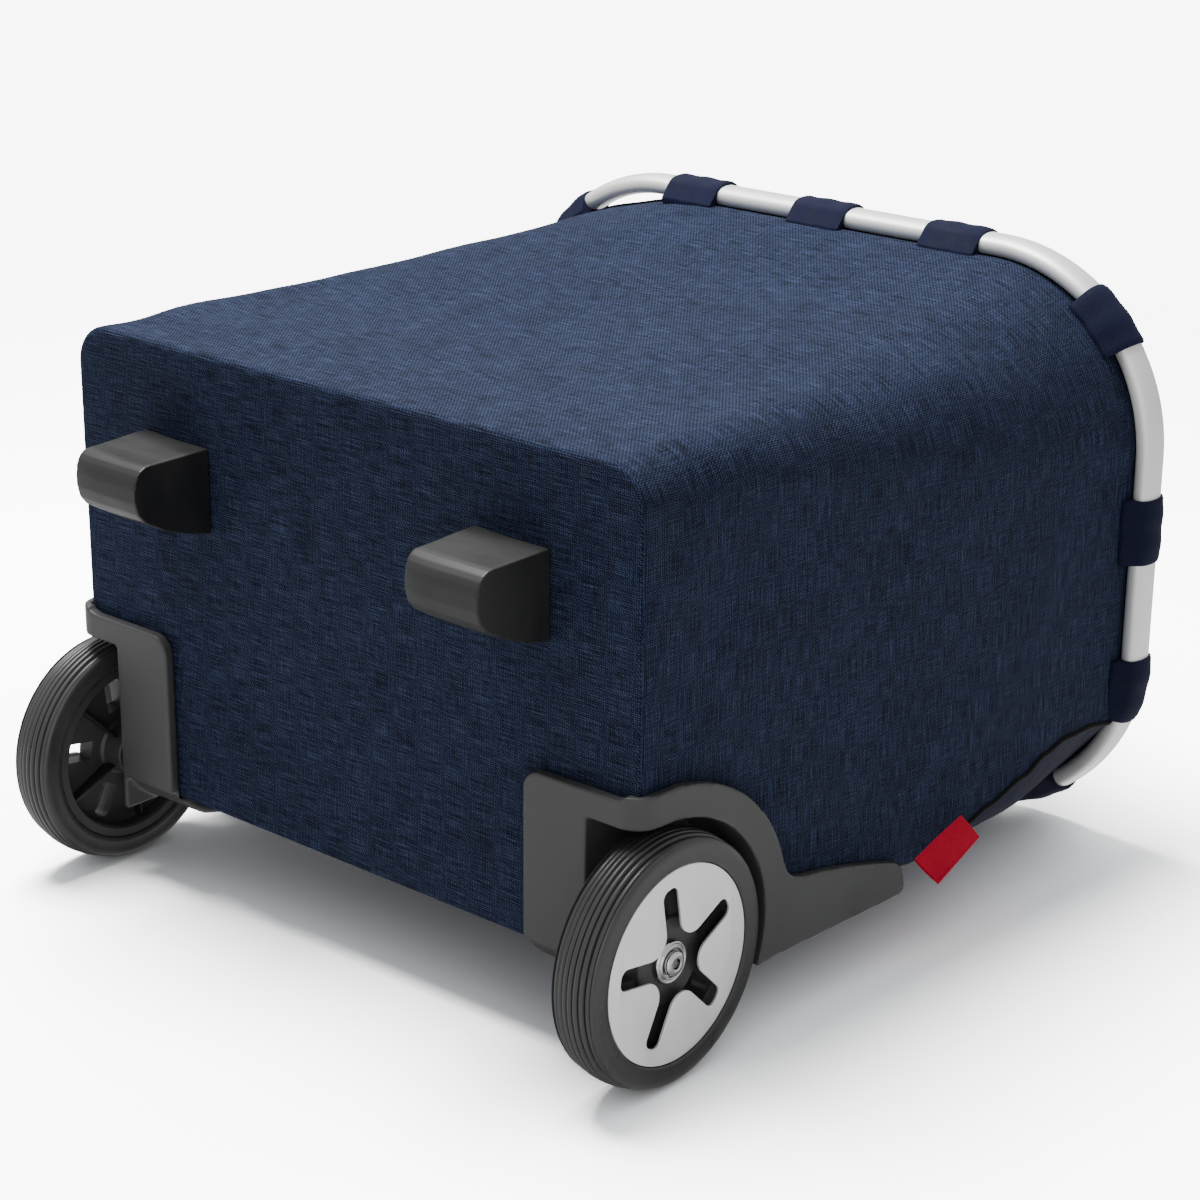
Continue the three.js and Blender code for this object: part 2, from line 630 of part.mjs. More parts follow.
add("frame_ring", frameRing(), ALU);
add("frame_joiner", frameJoiner(), ALU);
add("bag_shell", bagShell(), FABRIC);
add("base_board", baseBoard(), BOARD);
add("side_label", sideLabel(), TAG);

for (const [name, x] of [["left", -86], ["centre", 0], ["right", 86]]) {
  add(`loop_front_${name}`, frontLoop(x), WEBBING);
}
for (const [name, side] of [["right", 1], ["left", -1]]) {
  add(`loop_side_mid_${name}`, sideLoop(side, -17), WEBBING);
}
for (const [name, corner, middle] of [
  ["side_rear_right", 0, 9], ["corner_rear_right", 0, 63], ["corner_front_right", 1, 45],
  ["side_rear_left", 3, 9], ["corner_rear_left", 3, 63], ["corner_front_left", 2, 45],
]) {
  add(`loop_${name}`, cornerLoop(corner, middle), WEBBING);
}

addPair("wheel_housing", wheelHousing(), PLASTIC);
addPair("axle_bolt", axleBolt(), STEEL);
addPair("axle_nut", axleNut(), STEEL);
addPair("bolt_washer", boltWasher(), STEEL);
addPair("wheel_bush", wheelBush(), PLASTIC);
addPair("wheel_rim", wheelRim(), PLASTIC);
addPair("wheel_disc", wheelDisc(), ALU);
addPair("tyre", tyre(), RUBBER);
addPair("foot", foot(), RUBBER);
addPair("foot_screw", screwDown(...FOOT_SCREW, 28), STEEL);
addPair("housing_screw", screwDown(...HOUSING_SCREW, 43), STEEL);

add("cross_bar", crossBar(), PLASTIC);
addPair("cross_bar_screw", crossBarScrew(), STEEL);
add("handle_collar", handleCollar(), PLASTIC);
addPair("collar_screw", collarScrew(), STEEL);
addPair("outer_tube", stageTube(OUTER_TUBE), ALU);
addPair("outer_guide", outerGuide(), PLASTIC);
addPair("middle_tube", stageTube(MIDDLE_TUBE), ALU);
addPair("middle_guide", middleGuide(), PLASTIC);
addPair("inner_tube", stageTube(INNER_TUBE), ALU);
add("handle_grip", handleGrip(), PLASTIC);
add("release_button", releaseButton(), PLASTIC);
addPair("release_rod", releaseRod(), STEEL);
add("button_spring", buttonSpring(), STEEL);

export default trolley;
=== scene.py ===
import math

import bmesh
import bpy
from mathutils import Matrix, Vector, noise


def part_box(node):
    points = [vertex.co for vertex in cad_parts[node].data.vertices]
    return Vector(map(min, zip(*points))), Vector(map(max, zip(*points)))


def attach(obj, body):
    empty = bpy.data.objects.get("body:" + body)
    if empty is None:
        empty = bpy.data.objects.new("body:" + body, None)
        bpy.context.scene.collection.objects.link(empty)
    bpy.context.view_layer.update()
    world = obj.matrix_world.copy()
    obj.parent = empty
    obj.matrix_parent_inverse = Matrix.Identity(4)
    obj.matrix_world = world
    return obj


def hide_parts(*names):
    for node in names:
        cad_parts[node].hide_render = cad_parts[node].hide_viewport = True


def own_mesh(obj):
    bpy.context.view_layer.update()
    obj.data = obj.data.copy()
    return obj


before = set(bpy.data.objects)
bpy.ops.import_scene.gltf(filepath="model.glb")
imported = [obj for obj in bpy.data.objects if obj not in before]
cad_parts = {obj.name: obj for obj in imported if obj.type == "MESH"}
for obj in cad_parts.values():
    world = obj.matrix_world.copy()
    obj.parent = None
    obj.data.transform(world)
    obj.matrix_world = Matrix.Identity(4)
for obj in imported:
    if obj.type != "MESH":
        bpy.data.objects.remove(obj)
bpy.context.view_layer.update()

# Lengths are in millimetres, in the CAD frame, and become metres when a mesh is made.
MM = 0.001
RING_X, RING_Y, RING_R, RING_Z = 204.5, 148.2, 94.0, 411.0
TUBE_A, TUBE_C = 5.5, 9.0
BAG_LOW, BAG_HIGH = 46.1, 399.5
WHEEL_Y, WHEEL_R, RIM_R = 99.0, 59.0, 46.6
TYRE_IN, TYRE_OUT = 168.5, 193.2
DISC_FACE, DISC_THICK = 192.6, 1.5
HUB_FACE = 187.0
ARCH_IN = 65.0
ROD_X, ROD_Y = 92.0, 128.0
FOOT_X, FOOT_Y, FOOT_HALF = 108.2, -60.0, 21.4
FLOOR_Y = 158.4                  # the plane that the tyres, loops and ring lie on
SIDES = (("right", 1), ("left", -1))


# ---------------------------------------------------------------- small helpers

def mix(a, b, t):
    return a + (b - a) * t


def clamp(v, low=0.0, high=1.0):
    return max(low, min(high, v))


def smooth(v):
    v = clamp(v)
    return v * v * (3 - 2 * v)


def through(points, v):
    """A smooth curve through (position, value) points."""
    for (p0, v0), (p1, v1) in zip(points, points[1:]):
        if v <= p1:
            return mix(v0, v1, smooth((v - p0) / (p1 - p0)))
    return points[-1][1]


def arc(u, v, r, start, end, steps):
    out = []
    for i in range(steps + 1):
        a = math.radians(mix(start, end, i / steps))
        out.append((u + r * math.cos(a), v + r * math.sin(a)))
    return out


def chaikin(points, times):
    """An open line with its corners cut, so that it runs smoothly between its two ends."""
    for _ in range(times):
        cut = [points[0]]
        for a, b in zip(points, points[1:]):
            cut += [tuple(mix(p, q, share) for p, q in zip(a, b)) for share in (0.25, 0.75)]
        points = cut + [points[-1]]
    return points


def resample(points, count):
    """count points at equal steps along a line, ends included."""
    points = [Vector(p) for p in points]
    lengths = [0.0]
    for a, b in zip(points, points[1:]):
        lengths.append(lengths[-1] + (b - a).length)
    out, k = [], 0
    for i in range(count):
        target = lengths[-1] * i / (count - 1)
        while k < len(points) - 2 and lengths[k + 1] < target:
            k += 1
        step = lengths[k + 1] - lengths[k]
        out.append(points[k].lerp(points[k + 1], (target - lengths[k]) / step if step else 0.0))
    return out


def hull(points):
    """The convex outline round some points, counterclockwise."""
    points = sorted(set(points))

    def half(run):
        out = []
        for p in run:
            while len(out) > 1 and ((out[-1][0] - out[-2][0]) * (p[1] - out[-2][1])
                                    - (out[-1][1] - out[-2][1]) * (p[0] - out[-2][0])) <= 0:
                out.pop()
            out.append(p)
        return out[:-1]

    return half(points) + half(points[::-1])


def new_object(name, data):
    obj = bpy.data.objects.new(name, data)
    bpy.context.scene.collection.objects.link(obj)
    return obj


def mesh_object(name, verts, faces, sharp=35):
    mesh = bpy.data.meshes.new(name)
    mesh.from_pydata([(x * MM, y * MM, z * MM) for x, y, z in verts], [], faces)
    tidy_mesh(mesh, sharp)
    return new_object(name, mesh)


def tidy_mesh(mesh, sharp=35):
    """Merges doubled points, turns the faces outwards and shades them smooth but for sharp edges."""
    bm = bmesh.new()
    bm.from_mesh(mesh)
    bmesh.ops.remove_doubles(bm, verts=bm.verts, dist=1e-6)
    bmesh.ops.dissolve_degenerate(bm, dist=1e-7, edges=bm.edges)
    bmesh.ops.recalc_face_normals(bm, faces=bm.faces)
    bm.to_mesh(mesh)
    bm.free()
    mesh.polygons.foreach_set("use_smooth", [True] * len(mesh.polygons))
    mesh.set_sharp_from_angle(angle=math.radians(sharp))
    mesh.update()


def applied(obj, sharp=35):
    """Bakes the object's modifiers, or its curve, into a plain mesh."""
    graph = bpy.context.evaluated_depsgraph_get()
    mesh = bpy.data.meshes.new_from_object(obj.evaluated_get(graph))
    name = obj.name
    bpy.data.objects.remove(obj)
    fresh = new_object(name, mesh)
    tidy_mesh(fresh.data, sharp)
    return fresh


def modifier(obj, kind, **settings):
    added = obj.modifiers.new(kind.title(), kind)
    for key, value in settings.items():
        setattr(added, key, value)
    return added


def mirrored(obj, name):
    """A copy on the other side of the middle plane."""
    copy = new_object(name, obj.data.copy())
    copy.data.transform(Matrix.Scale(-1, 4, (1, 0, 0)))
    copy.data.flip_normals()
    return copy


def finish_piece(obj, material, body="chassis", nodes=()):
    if material is not None:
        obj.data.materials.clear()
        obj.data.materials.append(material)
    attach(obj, body)
    if nodes:
        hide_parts(*nodes)
    return obj


def lathe(name, profile, axis, centre, segments=96, sharp=35):
    """A closed (radius, position) profile turned about an axis through centre."""
    verts, faces = [], []
    count = len(profile)
    for s in range(segments):
        a = 2 * math.pi * s / segments
        c, d = math.cos(a), math.sin(a)
        for r, p in profile:
            if axis == "X":
                verts.append((p, centre[0] + r * c, centre[1] + r * d))
            elif axis == "Y":
                verts.append((centre[0] + r * c, p, centre[1] + r * d))
            else:
                verts.append((centre[0] + r * c, centre[1] + r * d, p))
    for s in range(segments):
        t = (s + 1) % segments
        for i in range(count):
            j = (i + 1) % count
            faces.append((s * count + i, s * count + j, t * count + j, t * count + i))
    return mesh_object(name, verts, faces, sharp)


def rounded(profile, radius, steps=3):
    """A closed profile with each corner rounded, by up to radius."""
    out = []
    count = len(profile)
    for i, corner in enumerate(profile):
        b = Vector(corner)
        a, c = Vector(profile[i - 1]), Vector(profile[(i + 1) % count])
        cut = min(radius, (a - b).length * 0.45, (c - b).length * 0.45)
        p, q = b + (a - b).normalized() * cut, b + (c - b).normalized() * cut
        for k in range(steps + 1):
            t = k / steps
            out.append(tuple(p * (1 - t) ** 2 + b * 2 * t * (1 - t) + q * t * t))
    return out


def sweep(rings, closed=False):
    """Rings of one point count, skinned in order; the two ends are capped unless it closes on itself."""
    count = len(rings[0])
    verts = [p for ring in rings for p in ring]
    faces = []
    last = len(rings) if closed else len(rings) - 1
    for s in range(last):
        t = (s + 1) % len(rings)
        for i in range(count):
            j = (i + 1) % count
            faces.append((s * count + i, s * count + j, t * count + j, t * count + i))
    if not closed:
        faces.append(tuple(range(count))[::-1])
        faces.append(tuple((len(rings) - 1) * count + i for i in range(count)))
    return verts, faces


def wire(name, points, radius, material, body="chassis", closed=False, resolution=3):
    """A round cord of thread or piping along some points."""
    curve = bpy.data.curves.new(name, "CURVE")
    curve.dimensions = "3D"
    curve.bevel_depth = radius * MM
    curve.bevel_resolution = resolution
    curve.use_fill_caps = True
    spline = curve.splines.new("POLY")
    spline.points.add(len(points) - 1)
    for point, place in zip(spline.points, points):
        point.co = (place[0] * MM, place[1] * MM, place[2] * MM, 1)
    spline.use_cyclic_u = closed
    return finish_piece(applied(new_object(name, curve), 60), material, body)


def softened(node, name, voxel, smoothing=4, keep=0.35):
    """A copy of a moulded CAD part with its edges rounded as they come from a mould."""
    obj = new_object(name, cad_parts[node].data.copy())
    obj.data.materials.clear()
    modifier(obj, "REMESH", mode="VOXEL", voxel_size=voxel * MM)
    modifier(obj, "SMOOTH", factor=0.5, iterations=smoothing)
    modifier(obj, "DECIMATE", ratio=keep)
    return applied(obj, 60)


# ---------------------------------------------------------------- materials

BANDS_PER_SCALE = 3.18           # bands per metre of a wave texture at scale 1


class Material:
    """A node material round one Principled shader."""

    def __init__(self, name, **sockets):
        self.mat = bpy.data.materials.new(name)
        self.mat.use_nodes = True
        self.tree = self.mat.node_tree
        self.shader = self.tree.nodes["Principled BSDF"]
        for socket, value in sockets.items():
            self.shader.inputs[socket.replace("_", " ")].default_value = value
        self.coords = self.add("ShaderNodeTexCoord")

    def add(self, kind, **settings):
        node = self.tree.nodes.new(kind)
        for key, value in settings.items():
            setattr(node, key, value)
        return node

    def link(self, source, target):
        self.tree.links.new(source, target)

    def noise(self, scale, stretch=(1, 1, 1), detail=3.0, roughness=0.5, coords="Object"):
        """A noise pattern; scale is in cycles per metre."""
        mapping = self.add("ShaderNodeMapping")
        mapping.inputs["Scale"].default_value = stretch
        self.link(self.coords.outputs[coords], mapping.inputs["Vector"])
        tex = self.add("ShaderNodeTexNoise")
        tex.inputs["Scale"].default_value = scale
        tex.inputs["Detail"].default_value = detail
        tex.inputs["Roughness"].default_value = roughness
        self.link(mapping.outputs["Vector"], tex.inputs["Vector"])
        return tex.outputs["Fac"]

    def threads(self, pitch, along):
        """Slightly uneven threads, pitch apart in metres, at along degrees to the cloth's grid."""
        mapping = self.add("ShaderNodeMapping")
        mapping.inputs["Rotation"].default_value = (0, 0, math.radians(along))
        self.link(self.coords.outputs["UV"], mapping.inputs["Vector"])
        tex = self.add("ShaderNodeTexWave", wave_type="BANDS", bands_direction="X")
        tex.inputs["Scale"].default_value = 1 / pitch / BANDS_PER_SCALE
        tex.inputs["Distortion"].default_value = 0.6
        tex.inputs["Detail"].default_value = 1.0
        tex.inputs["Detail Scale"].default_value = 2.0
        self.link(mapping.outputs["Vector"], tex.inputs["Vector"])
        return tex.outputs["Fac"]

    def math(self, operation, a, b):
        node = self.add("ShaderNodeMath", operation=operation)
        for socket, value in zip(node.inputs, (a, b)):
            if isinstance(value, (int, float)):
                socket.default_value = value
            else:
                self.link(value, socket)
        return node.outputs[0]

    def spread(self, value, low, high, to_low=0.0, to_high=1.0):
        node = self.add("ShaderNodeMapRange")
        for socket, number in zip(list(node.inputs)[1:5], (low, high, to_low, to_high)):
            socket.default_value = number
        self.link(value, node.inputs[0])
        return node.outputs[0]

    def ramp(self, value, stops):
        """Colours along a value from 0 to 1."""
        node = self.add("ShaderNodeValToRGB")
        elements = node.color_ramp.elements
        elements[0].position, elements[0].color = stops[0][0], (*stops[0][1], 1)
        elements[1].position, elements[1].color = stops[-1][0], (*stops[-1][1], 1)
        for position, color in stops[1:-1]:
            elements.new(position).color = (*color, 1)
        self.link(value, node.inputs["Fac"])
        return node.outputs["Color"]

    def color(self, value, stops):
        self.link(self.ramp(value, stops), self.shader.inputs["Base Color"])

    def roughness(self, value, low, high):
        self.link(self.spread(value, 0.3, 0.7, low, high), self.shader.inputs["Roughness"])

    def bump(self, height, distance, strength=1.0):
        node = self.add("ShaderNodeBump")
        node.inputs["Distance"].default_value = distance
        node.inputs["Strength"].default_value = strength
        self.link(height, node.inputs["Height"])
        self.link(node.outputs["Normal"], self.shader.inputs["Normal"])


def melange():
    """Navy polyester canvas woven from uneven light and dark yarns."""
    m = Material("melange_fabric", Roughness=0.86, Specular_IOR_Level=0.12)
    slubs = m.noise(1250, (0.05, 1.6, 1), 2.0, 0.6, "UV")
    across = m.noise(1250, (1.5, 0.065, 1), 2.0, 0.6, "UV")
    patch = m.noise(24, (0.6, 1, 1), 3.0, 0.6, "UV")
    grain = m.noise(1900, (1, 1, 1), 2.0, 0.7, "UV")
    weft, warp = m.threads(0.00105, 0), m.threads(0.00105, 90)
    weave = m.math("MULTIPLY", weft, warp)
    twill = m.threads(0.0015, 38)
    fleck = m.math("ADD", m.math("MULTIPLY", slubs, 0.44), m.math("MULTIPLY", across, 0.24))
    fleck = m.math("ADD", fleck, m.math("MULTIPLY", grain, 0.32))
    for part, weight, middle in ((patch, 0.05, 0.5), (weave, 0.13, 0.25), (twill, 0.08, 0.5)):
        fleck = m.math("ADD", fleck, m.math("MULTIPLY", m.math("SUBTRACT", part, middle), weight))
    m.color(fleck, [
        (0.40, (0.0012, 0.0017, 0.0046)), (0.465, (0.0060, 0.0090, 0.0210)),
        (0.53, (0.0180, 0.0265, 0.0600)), (0.62, (0.0580, 0.0785, 0.1540)),
    ])
    height = m.math("ADD", m.math("MULTIPLY", fleck, 0.6), m.math("MULTIPLY", weave, 0.4))
    m.bump(height, 0.0005, 0.6)
    return m.mat


def plain_weave(name, dark, light, pitch=0.0009, sheen=0.04):
    """A fine plain cloth or webbing."""
    m = Material(name, Roughness=0.8, Sheen_Weight=sheen, Specular_IOR_Level=0.16)
    mottle = m.noise(90, (1, 1, 1), 4.0, 0.6)
    yarn = m.noise(1.0 / pitch, (1, 1, 1), 1.0, 0.5)
    tone = m.math("ADD", m.math("MULTIPLY", mottle, 0.5), m.math("MULTIPLY", yarn, 0.5))
    m.color(tone, [(0.36, dark), (0.64, light)])
    m.roughness(mottle, 0.72, 0.88)
    m.bump(yarn, 0.0004, 0.5)
    return m.mat


def plastic(name, dark, light, low=0.42, high=0.58, grain=2600):
    """Moulded polypropylene with a fine satin grain and faint flow marks."""
    m = Material(name, Specular_IOR_Level=0.45)
    flow = m.noise(14, (1, 1, 2.5), 4.0, 0.6)
    pores = m.noise(grain, (1, 1, 1), 2.0, 0.6)
    tone = m.math("ADD", m.math("MULTIPLY", flow, 0.8), m.math("MULTIPLY", pores, 0.2))
    m.color(tone, [(0.35, dark), (0.65, light)])
    m.roughness(flow, low, high)
    m.bump(pores, 0.00006, 0.6)
    return m.mat


def metal(name, dark, light, low, high, stretch=(1, 1, 1), share=1.0):
    """Metal with a faint grain in its roughness and colour; share is below 1 where it is anodised."""
    m = Material(name, Metallic=share)
    grain = m.noise(300, stretch, 4.0, 0.6)
    haze = m.noise(22, (1, 1, 1), 3.0, 0.5)
    m.color(haze, [(0.35, dark), (0.65, light)])
    m.roughness(grain, low, high)
    m.bump(grain, 0.00002, 0.4)
    return m.mat


MELANGE = melange()
NAVY = plain_weave("navy_cloth", (0.0045, 0.006, 0.018), (0.0085, 0.011, 0.030), sheen=0.0)
BINDING = plain_weave("black_binding", (0.0015, 0.0015, 0.002), (0.004, 0.004, 0.005), sheen=0.05)
WEBBING = plain_weave("navy_webbing", (0.0042, 0.0056, 0.0205), (0.0082, 0.0108, 0.0360), 0.0007, sheen=0.0)
LABEL = plain_weave("red_label", (0.62, 0.008, 0.034), (0.76, 0.016, 0.052), 0.0006)
BOARD = plain_weave("board_cloth", (0.006, 0.007, 0.010), (0.014, 0.016, 0.024))
HOUSING = plastic("housing_plastic", (0.046, 0.046, 0.046), (0.059, 0.059, 0.059))
FOOT = plastic("foot_plastic", (0.009, 0.009, 0.009), (0.015, 0.015, 0.015), 0.38, 0.62)
BLACK = plastic("black_plastic", (0.008, 0.008, 0.008), (0.013, 0.013, 0.013), 0.35, 0.5)
RIM = plastic("rim_plastic", (0.040, 0.040, 0.041), (0.050, 0.050, 0.051), 0.35, 0.5)
TYRE = plastic("tyre_rubber", (0.036, 0.036, 0.036), (0.048, 0.048, 0.048), 0.24, 0.42, 1800)
SATIN = metal("satin_aluminium", (0.92, 0.92, 0.90), (0.97, 0.97, 0.95), 0.48, 0.56, share=0.5)
DISC = metal("disc_aluminium", (0.92, 0.92, 0.92), (0.97, 0.97, 0.97), 0.48, 0.56, (0.2, 1, 1), share=0.6)
TUBE = metal("handle_aluminium", (0.60, 0.60, 0.60), (0.68, 0.68, 0.68), 0.25, 0.36, (1, 1, 0.05))
CHROME = metal("chrome", (0.52, 0.52, 0.52), (0.62, 0.62, 0.62), 0.06, 0.14)
STEEL = metal("zinc_steel", (0.42, 0.42, 0.43), (0.52, 0.52, 0.53), 0.25, 0.4)


# ---------------------------------------------------------------- camera, floor and light

def place(obj, eye, right, down, forward):
    """Stands a camera at eye, in millimetres, with its picture's axes given as unit vectors."""
    matrix = Matrix((right, [-c for c in down], [-c for c in forward])).transposed().to_4x4()
    matrix.translation = Vector(eye) * MM
    obj.matrix_world = matrix


lens = bpy.data.cameras.new("camera")
lens.lens, lens.sensor_width = 86.97, 36.0
lens.clip_end = 50
camera = new_object("camera", lens)
place(camera, eye=(906.9, -477.3, -820.1), right=(0.7542, -0.0078, 0.6566),
      down=(0.2282, 0.9408, -0.2508), forward=(-0.6158, 0.3390, 0.7113))
bpy.context.scene.camera = camera


def softbox(name, eye, size, watts):
    """A round area light at eye, in millimetres, aimed at the middle of the trolley."""
    light = bpy.data.lights.new(name, "AREA")
    light.shape, light.size, light.energy = "DISK", size, watts
    obj = new_object(name, light)
    obj.location = Vector(eye) * MM
    obj.rotation_euler = (Vector(MIDDLE) - Vector(eye)).to_track_quat("-Z", "Y").to_euler()


MIDDLE = (0, 0, 230)
softbox("key", (-450, -1700, 150), 1.05, 66)
softbox("fill_camera", (1500, -500, -1400), 1.6, 7)
softbox("fill_rear", (500, 1700, 900), 1.4, 15)

FLOOR_GAIN = 6.0                 # how bright the lit paper shows to the camera
BACKDROP = 8.0                   # how bright the empty studio shows
world = bpy.data.worlds.new("studio")
bpy.context.scene.world = world
world.use_nodes = True
tree = world.node_tree
tree.nodes.clear()


def background(color, strength):
    node = tree.nodes.new("ShaderNodeBackground")
    node.inputs["Color"].default_value = (*color, 1)
    node.inputs["Strength"].default_value = strength
    return node


def either(test, no, yes):
    """One of two backgrounds, by the kind of ray."""
    node = tree.nodes.new("ShaderNodeMixShader")
    for source, socket in zip((test, no.outputs[0], yes.outputs[0]), node.inputs):
        tree.links.new(source, socket)
    return node


rays = tree.nodes.new("ShaderNodeLightPath").outputs
lighting = either(rays["Is Glossy Ray"], background((0.93, 0.96, 1.0), 0.30), background((1, 1, 1), 0.85))
surround = either(rays["Is Camera Ray"], lighting, background((1, 1, 1), BACKDROP))
tree.links.new(surround.outputs[0], tree.nodes.new("ShaderNodeOutputWorld").inputs["Surface"])


def studio_floor(name, centre, normal, radius):
    """A pale floor that shows on one side only, darkened by painted shade near the things on it, and that
    fades out towards its edge.
    """
    rings, sides = 12, 48
    side = Vector(normal).orthogonal().normalized()
    other = Vector(normal).cross(side)
    verts, faces = [Vector(centre)], []
    for k in range(1, rings + 1):
        for s in range(sides):
            a = 2 * math.pi * s / sides
            verts.append(Vector(centre) + (side * math.cos(a) + other * math.sin(a)) * radius * k / rings)
    for s in range(sides):
        t = (s + 1) % sides
        faces.append((0, 1 + s, 1 + t))
        for k in range(rings - 1):
            a, b = 1 + k * sides, 1 + (k + 1) * sides
            faces.append((a + s, b + s, b + t, a + t))
    mesh = bpy.data.meshes.new(name)
    mesh.from_pydata([v * MM for v in verts], [], faces)
    obj = new_object(name, mesh)
    m = Material(name)
    m.tree.nodes.remove(m.shader)
    light_path = m.add("ShaderNodeLightPath")
    paper = m.add("ShaderNodeBsdfDiffuse")
    grain = m.noise(900, (1, 1, 1), 2.0)
    tone = m.spread(grain, 0.3, 0.7, 0.995, 1.0)
    shade = m.spread(light_path.outputs["Is Camera Ray"], 0.0, 1.0, 0.8, FLOOR_GAIN)
    # Painted shade: ambient occlusion darkens the paper's colour near the trolley, a painted contact shadow
    # beneath it.
    shade_occlusion = m.add("ShaderNodeAmbientOcclusion", samples=8)
    shade_occlusion.inputs["Distance"].default_value = 0.42
    painted_contact_shade = m.spread(shade_occlusion.outputs["AO"], 0.0, 1.0, 0.14, 1.0)
    m.link(m.math("MULTIPLY", m.math("MULTIPLY", tone, shade), painted_contact_shade), paper.inputs["Color"])
    shift = m.add("ShaderNodeVectorMath", operation="DISTANCE")
    m.link(m.coords.outputs["Object"], shift.inputs[0])
    shift.inputs[1].default_value = Vector(centre) * MM
    fade = m.spread(shift.outputs["Value"], radius * MM * 0.35, radius * MM * 0.98, 1.0, 0.0)
    side_on = m.add("ShaderNodeNewGeometry").outputs["Backfacing"]
    hidden = m.math("MAXIMUM", side_on, light_path.outputs["Is Shadow Ray"])
    shown = m.math("MULTIPLY", fade, m.math("SUBTRACT", 1.0, hidden))
    clear, blend = m.add("ShaderNodeBsdfTransparent"), m.add("ShaderNodeMixShader")
    m.link(shown, blend.inputs[0])
    m.link(clear.outputs[0], blend.inputs[1])
    m.link(paper.outputs[0], blend.inputs[2])
    m.link(blend.outputs[0], m.tree.nodes["Material Output"].inputs["Surface"])
    mesh.materials.append(m.mat)


studio_floor("floor", centre=(0, FLOOR_Y, 200), normal=(0, -1, 0), radius=1500)


# ---------------------------------------------------------------- bag

# Where the side panel meets the gusset: (height, Y).
SEAM = [(46, 103.5), (150, 106.5), (215, 108.5), (240, 111.8), (262, 109.6), (278, 105),
        (295, 100.2), (324, 93), (342, 86.5), (358, 82.6), (378, 82.4), (400, 85.4)]
CLOTH = 1.7                      # the doubled cloth and its lining
SEAM_POINT = 54                  # the place of that seam in a ring of the bag
FRONT_LOOPS = (-86, 0, 85)


def bag_half(z, off=0.0):
    """The right half of the bag's outline at one height, from the middle of the back to the middle
    of the front, as (point, zone) with one count of points at every height."""
    t = min((z - BAG_LOW) / (BAG_HIGH - BAG_LOW), 1.0)
    x = mix(180.7, 199.5, t) + off
    front = mix(-126.3, -144, t) - off
    rear = mix(107.5, 113, t) + off
    radius = mix(20, 92, max(t, 0) ** 1.3) + off
    ear = clamp((z - 250) / (BAG_HIGH - 250)) ** 1.2
    seam = through(SEAM, z) + off * (1 - ear)
    swell = 3.0 * smooth((z - 205) / 35)
    tip = (mix(x - 9, 148 + off, ear), mix(rear + swell, 142 + off, ear))
    gusset = chaikin([
        (112, rear), (mix(130, 124, ear), mix(rear, tip[1] - 6, ear)), (mix(140, 130, ear), tip[1]), tip,
        (mix(x - 3, tip[0] + 9, ear), mix(rear + swell - 0.8, tip[1] - 7, ear)), (x, seam),
    ], 3)
    back = resample([(0, rear), (112, rear)], 15)[:-1]
    gusset = resample(gusset, 41)[:-1]
    side = resample([(x, seam), (x, front + radius)], 31)[:-1]
    corner = resample(arc(x - radius, front + radius, radius, 0, -90, 40), 31)[:-1]
    panel = resample([(x - radius, front), (0, front)], 27)
    out = []
    for zone, run in enumerate((back, gusset, side, corner, panel)):
        out += [(p, zone) for p in run]
    return out


def sag(p, n, z, zone):
    """How far the cloth stands out from the taut outline, in millimetres, outwards."""
    t = clamp((z - BAG_LOW) / (BAG_HIGH - BAG_LOW))
    belly = math.sin(math.pi * t)
    x, y = p
    move = 0.0
    # The front panel hangs in between the bottom and the tube.
    front = clamp(-n.y)
    hollow = through([(0, 0.0), (0.06, 1.6), (0.4, 8.5), (0.75, 9.0), (1, 0.0)], t)
    move -= hollow * front ** 2 * (0.75 + 0.25 * smooth(1 - abs(x) / 190))
    if zone in (2, 3):
        move -= 1.2 * belly * smooth(1 - abs(y + 20) / 110)
    if zone in (0, 1):
        move -= 2.5 * belly * smooth(1 - abs(x) / 180)
    # On the left the rim runs straight past the front corner and leaves the tube.
    if x < 0 and zone in (3, 4) and t > 0.6:
        cx, cy = abs(x) - (RING_X - RING_R), -(RING_Y - RING_R) - y
        if cx > -45 and cy > 0:
            angle = math.degrees(math.atan2(cy, cx))
            move -= 6.0 * math.exp(-((angle - 78) / 20) ** 2) * smooth((t - 0.6) / 0.4) ** 2
    # The soft dent above each lower front corner, and the fold that runs up from it.
    reach = math.hypot(abs(x) - 176, y + 118)
    dent = math.exp(-(reach / 16) ** 2 - ((z - 76) / 15) ** 2)
    move -= (2.6 if x > 0 else 1.6) * dent
    fold = math.exp(-((y + 120 + (z - 60) * 0.10) / 9) ** 2) * smooth((z - 50) / 40) * smooth((260 - z) / 160)
    move += 0.8 * fold if abs(x) > 150 else 0.0
    # Slack and tension over the whole bag.
    calm = smooth((z - BAG_LOW) / 30) * smooth((BAG_HIGH - z) / 40)
    place = Vector((x * 0.011, y * 0.011, z * 0.008))
    move += 1.4 * noise.noise(place + Vector((3.1, 0.4, 1.7))) * belly
    move += 0.7 * noise.noise(place * 3.2) * calm
    drape = noise.noise(Vector((x * 0.035 + z * 0.012, y * 0.035 - z * 0.012, z * 0.007)))
    move += 0.8 * drape * calm * smooth(1.1 - t)
    if zone == 1 and z > 250:
        move *= 0.5
    return move


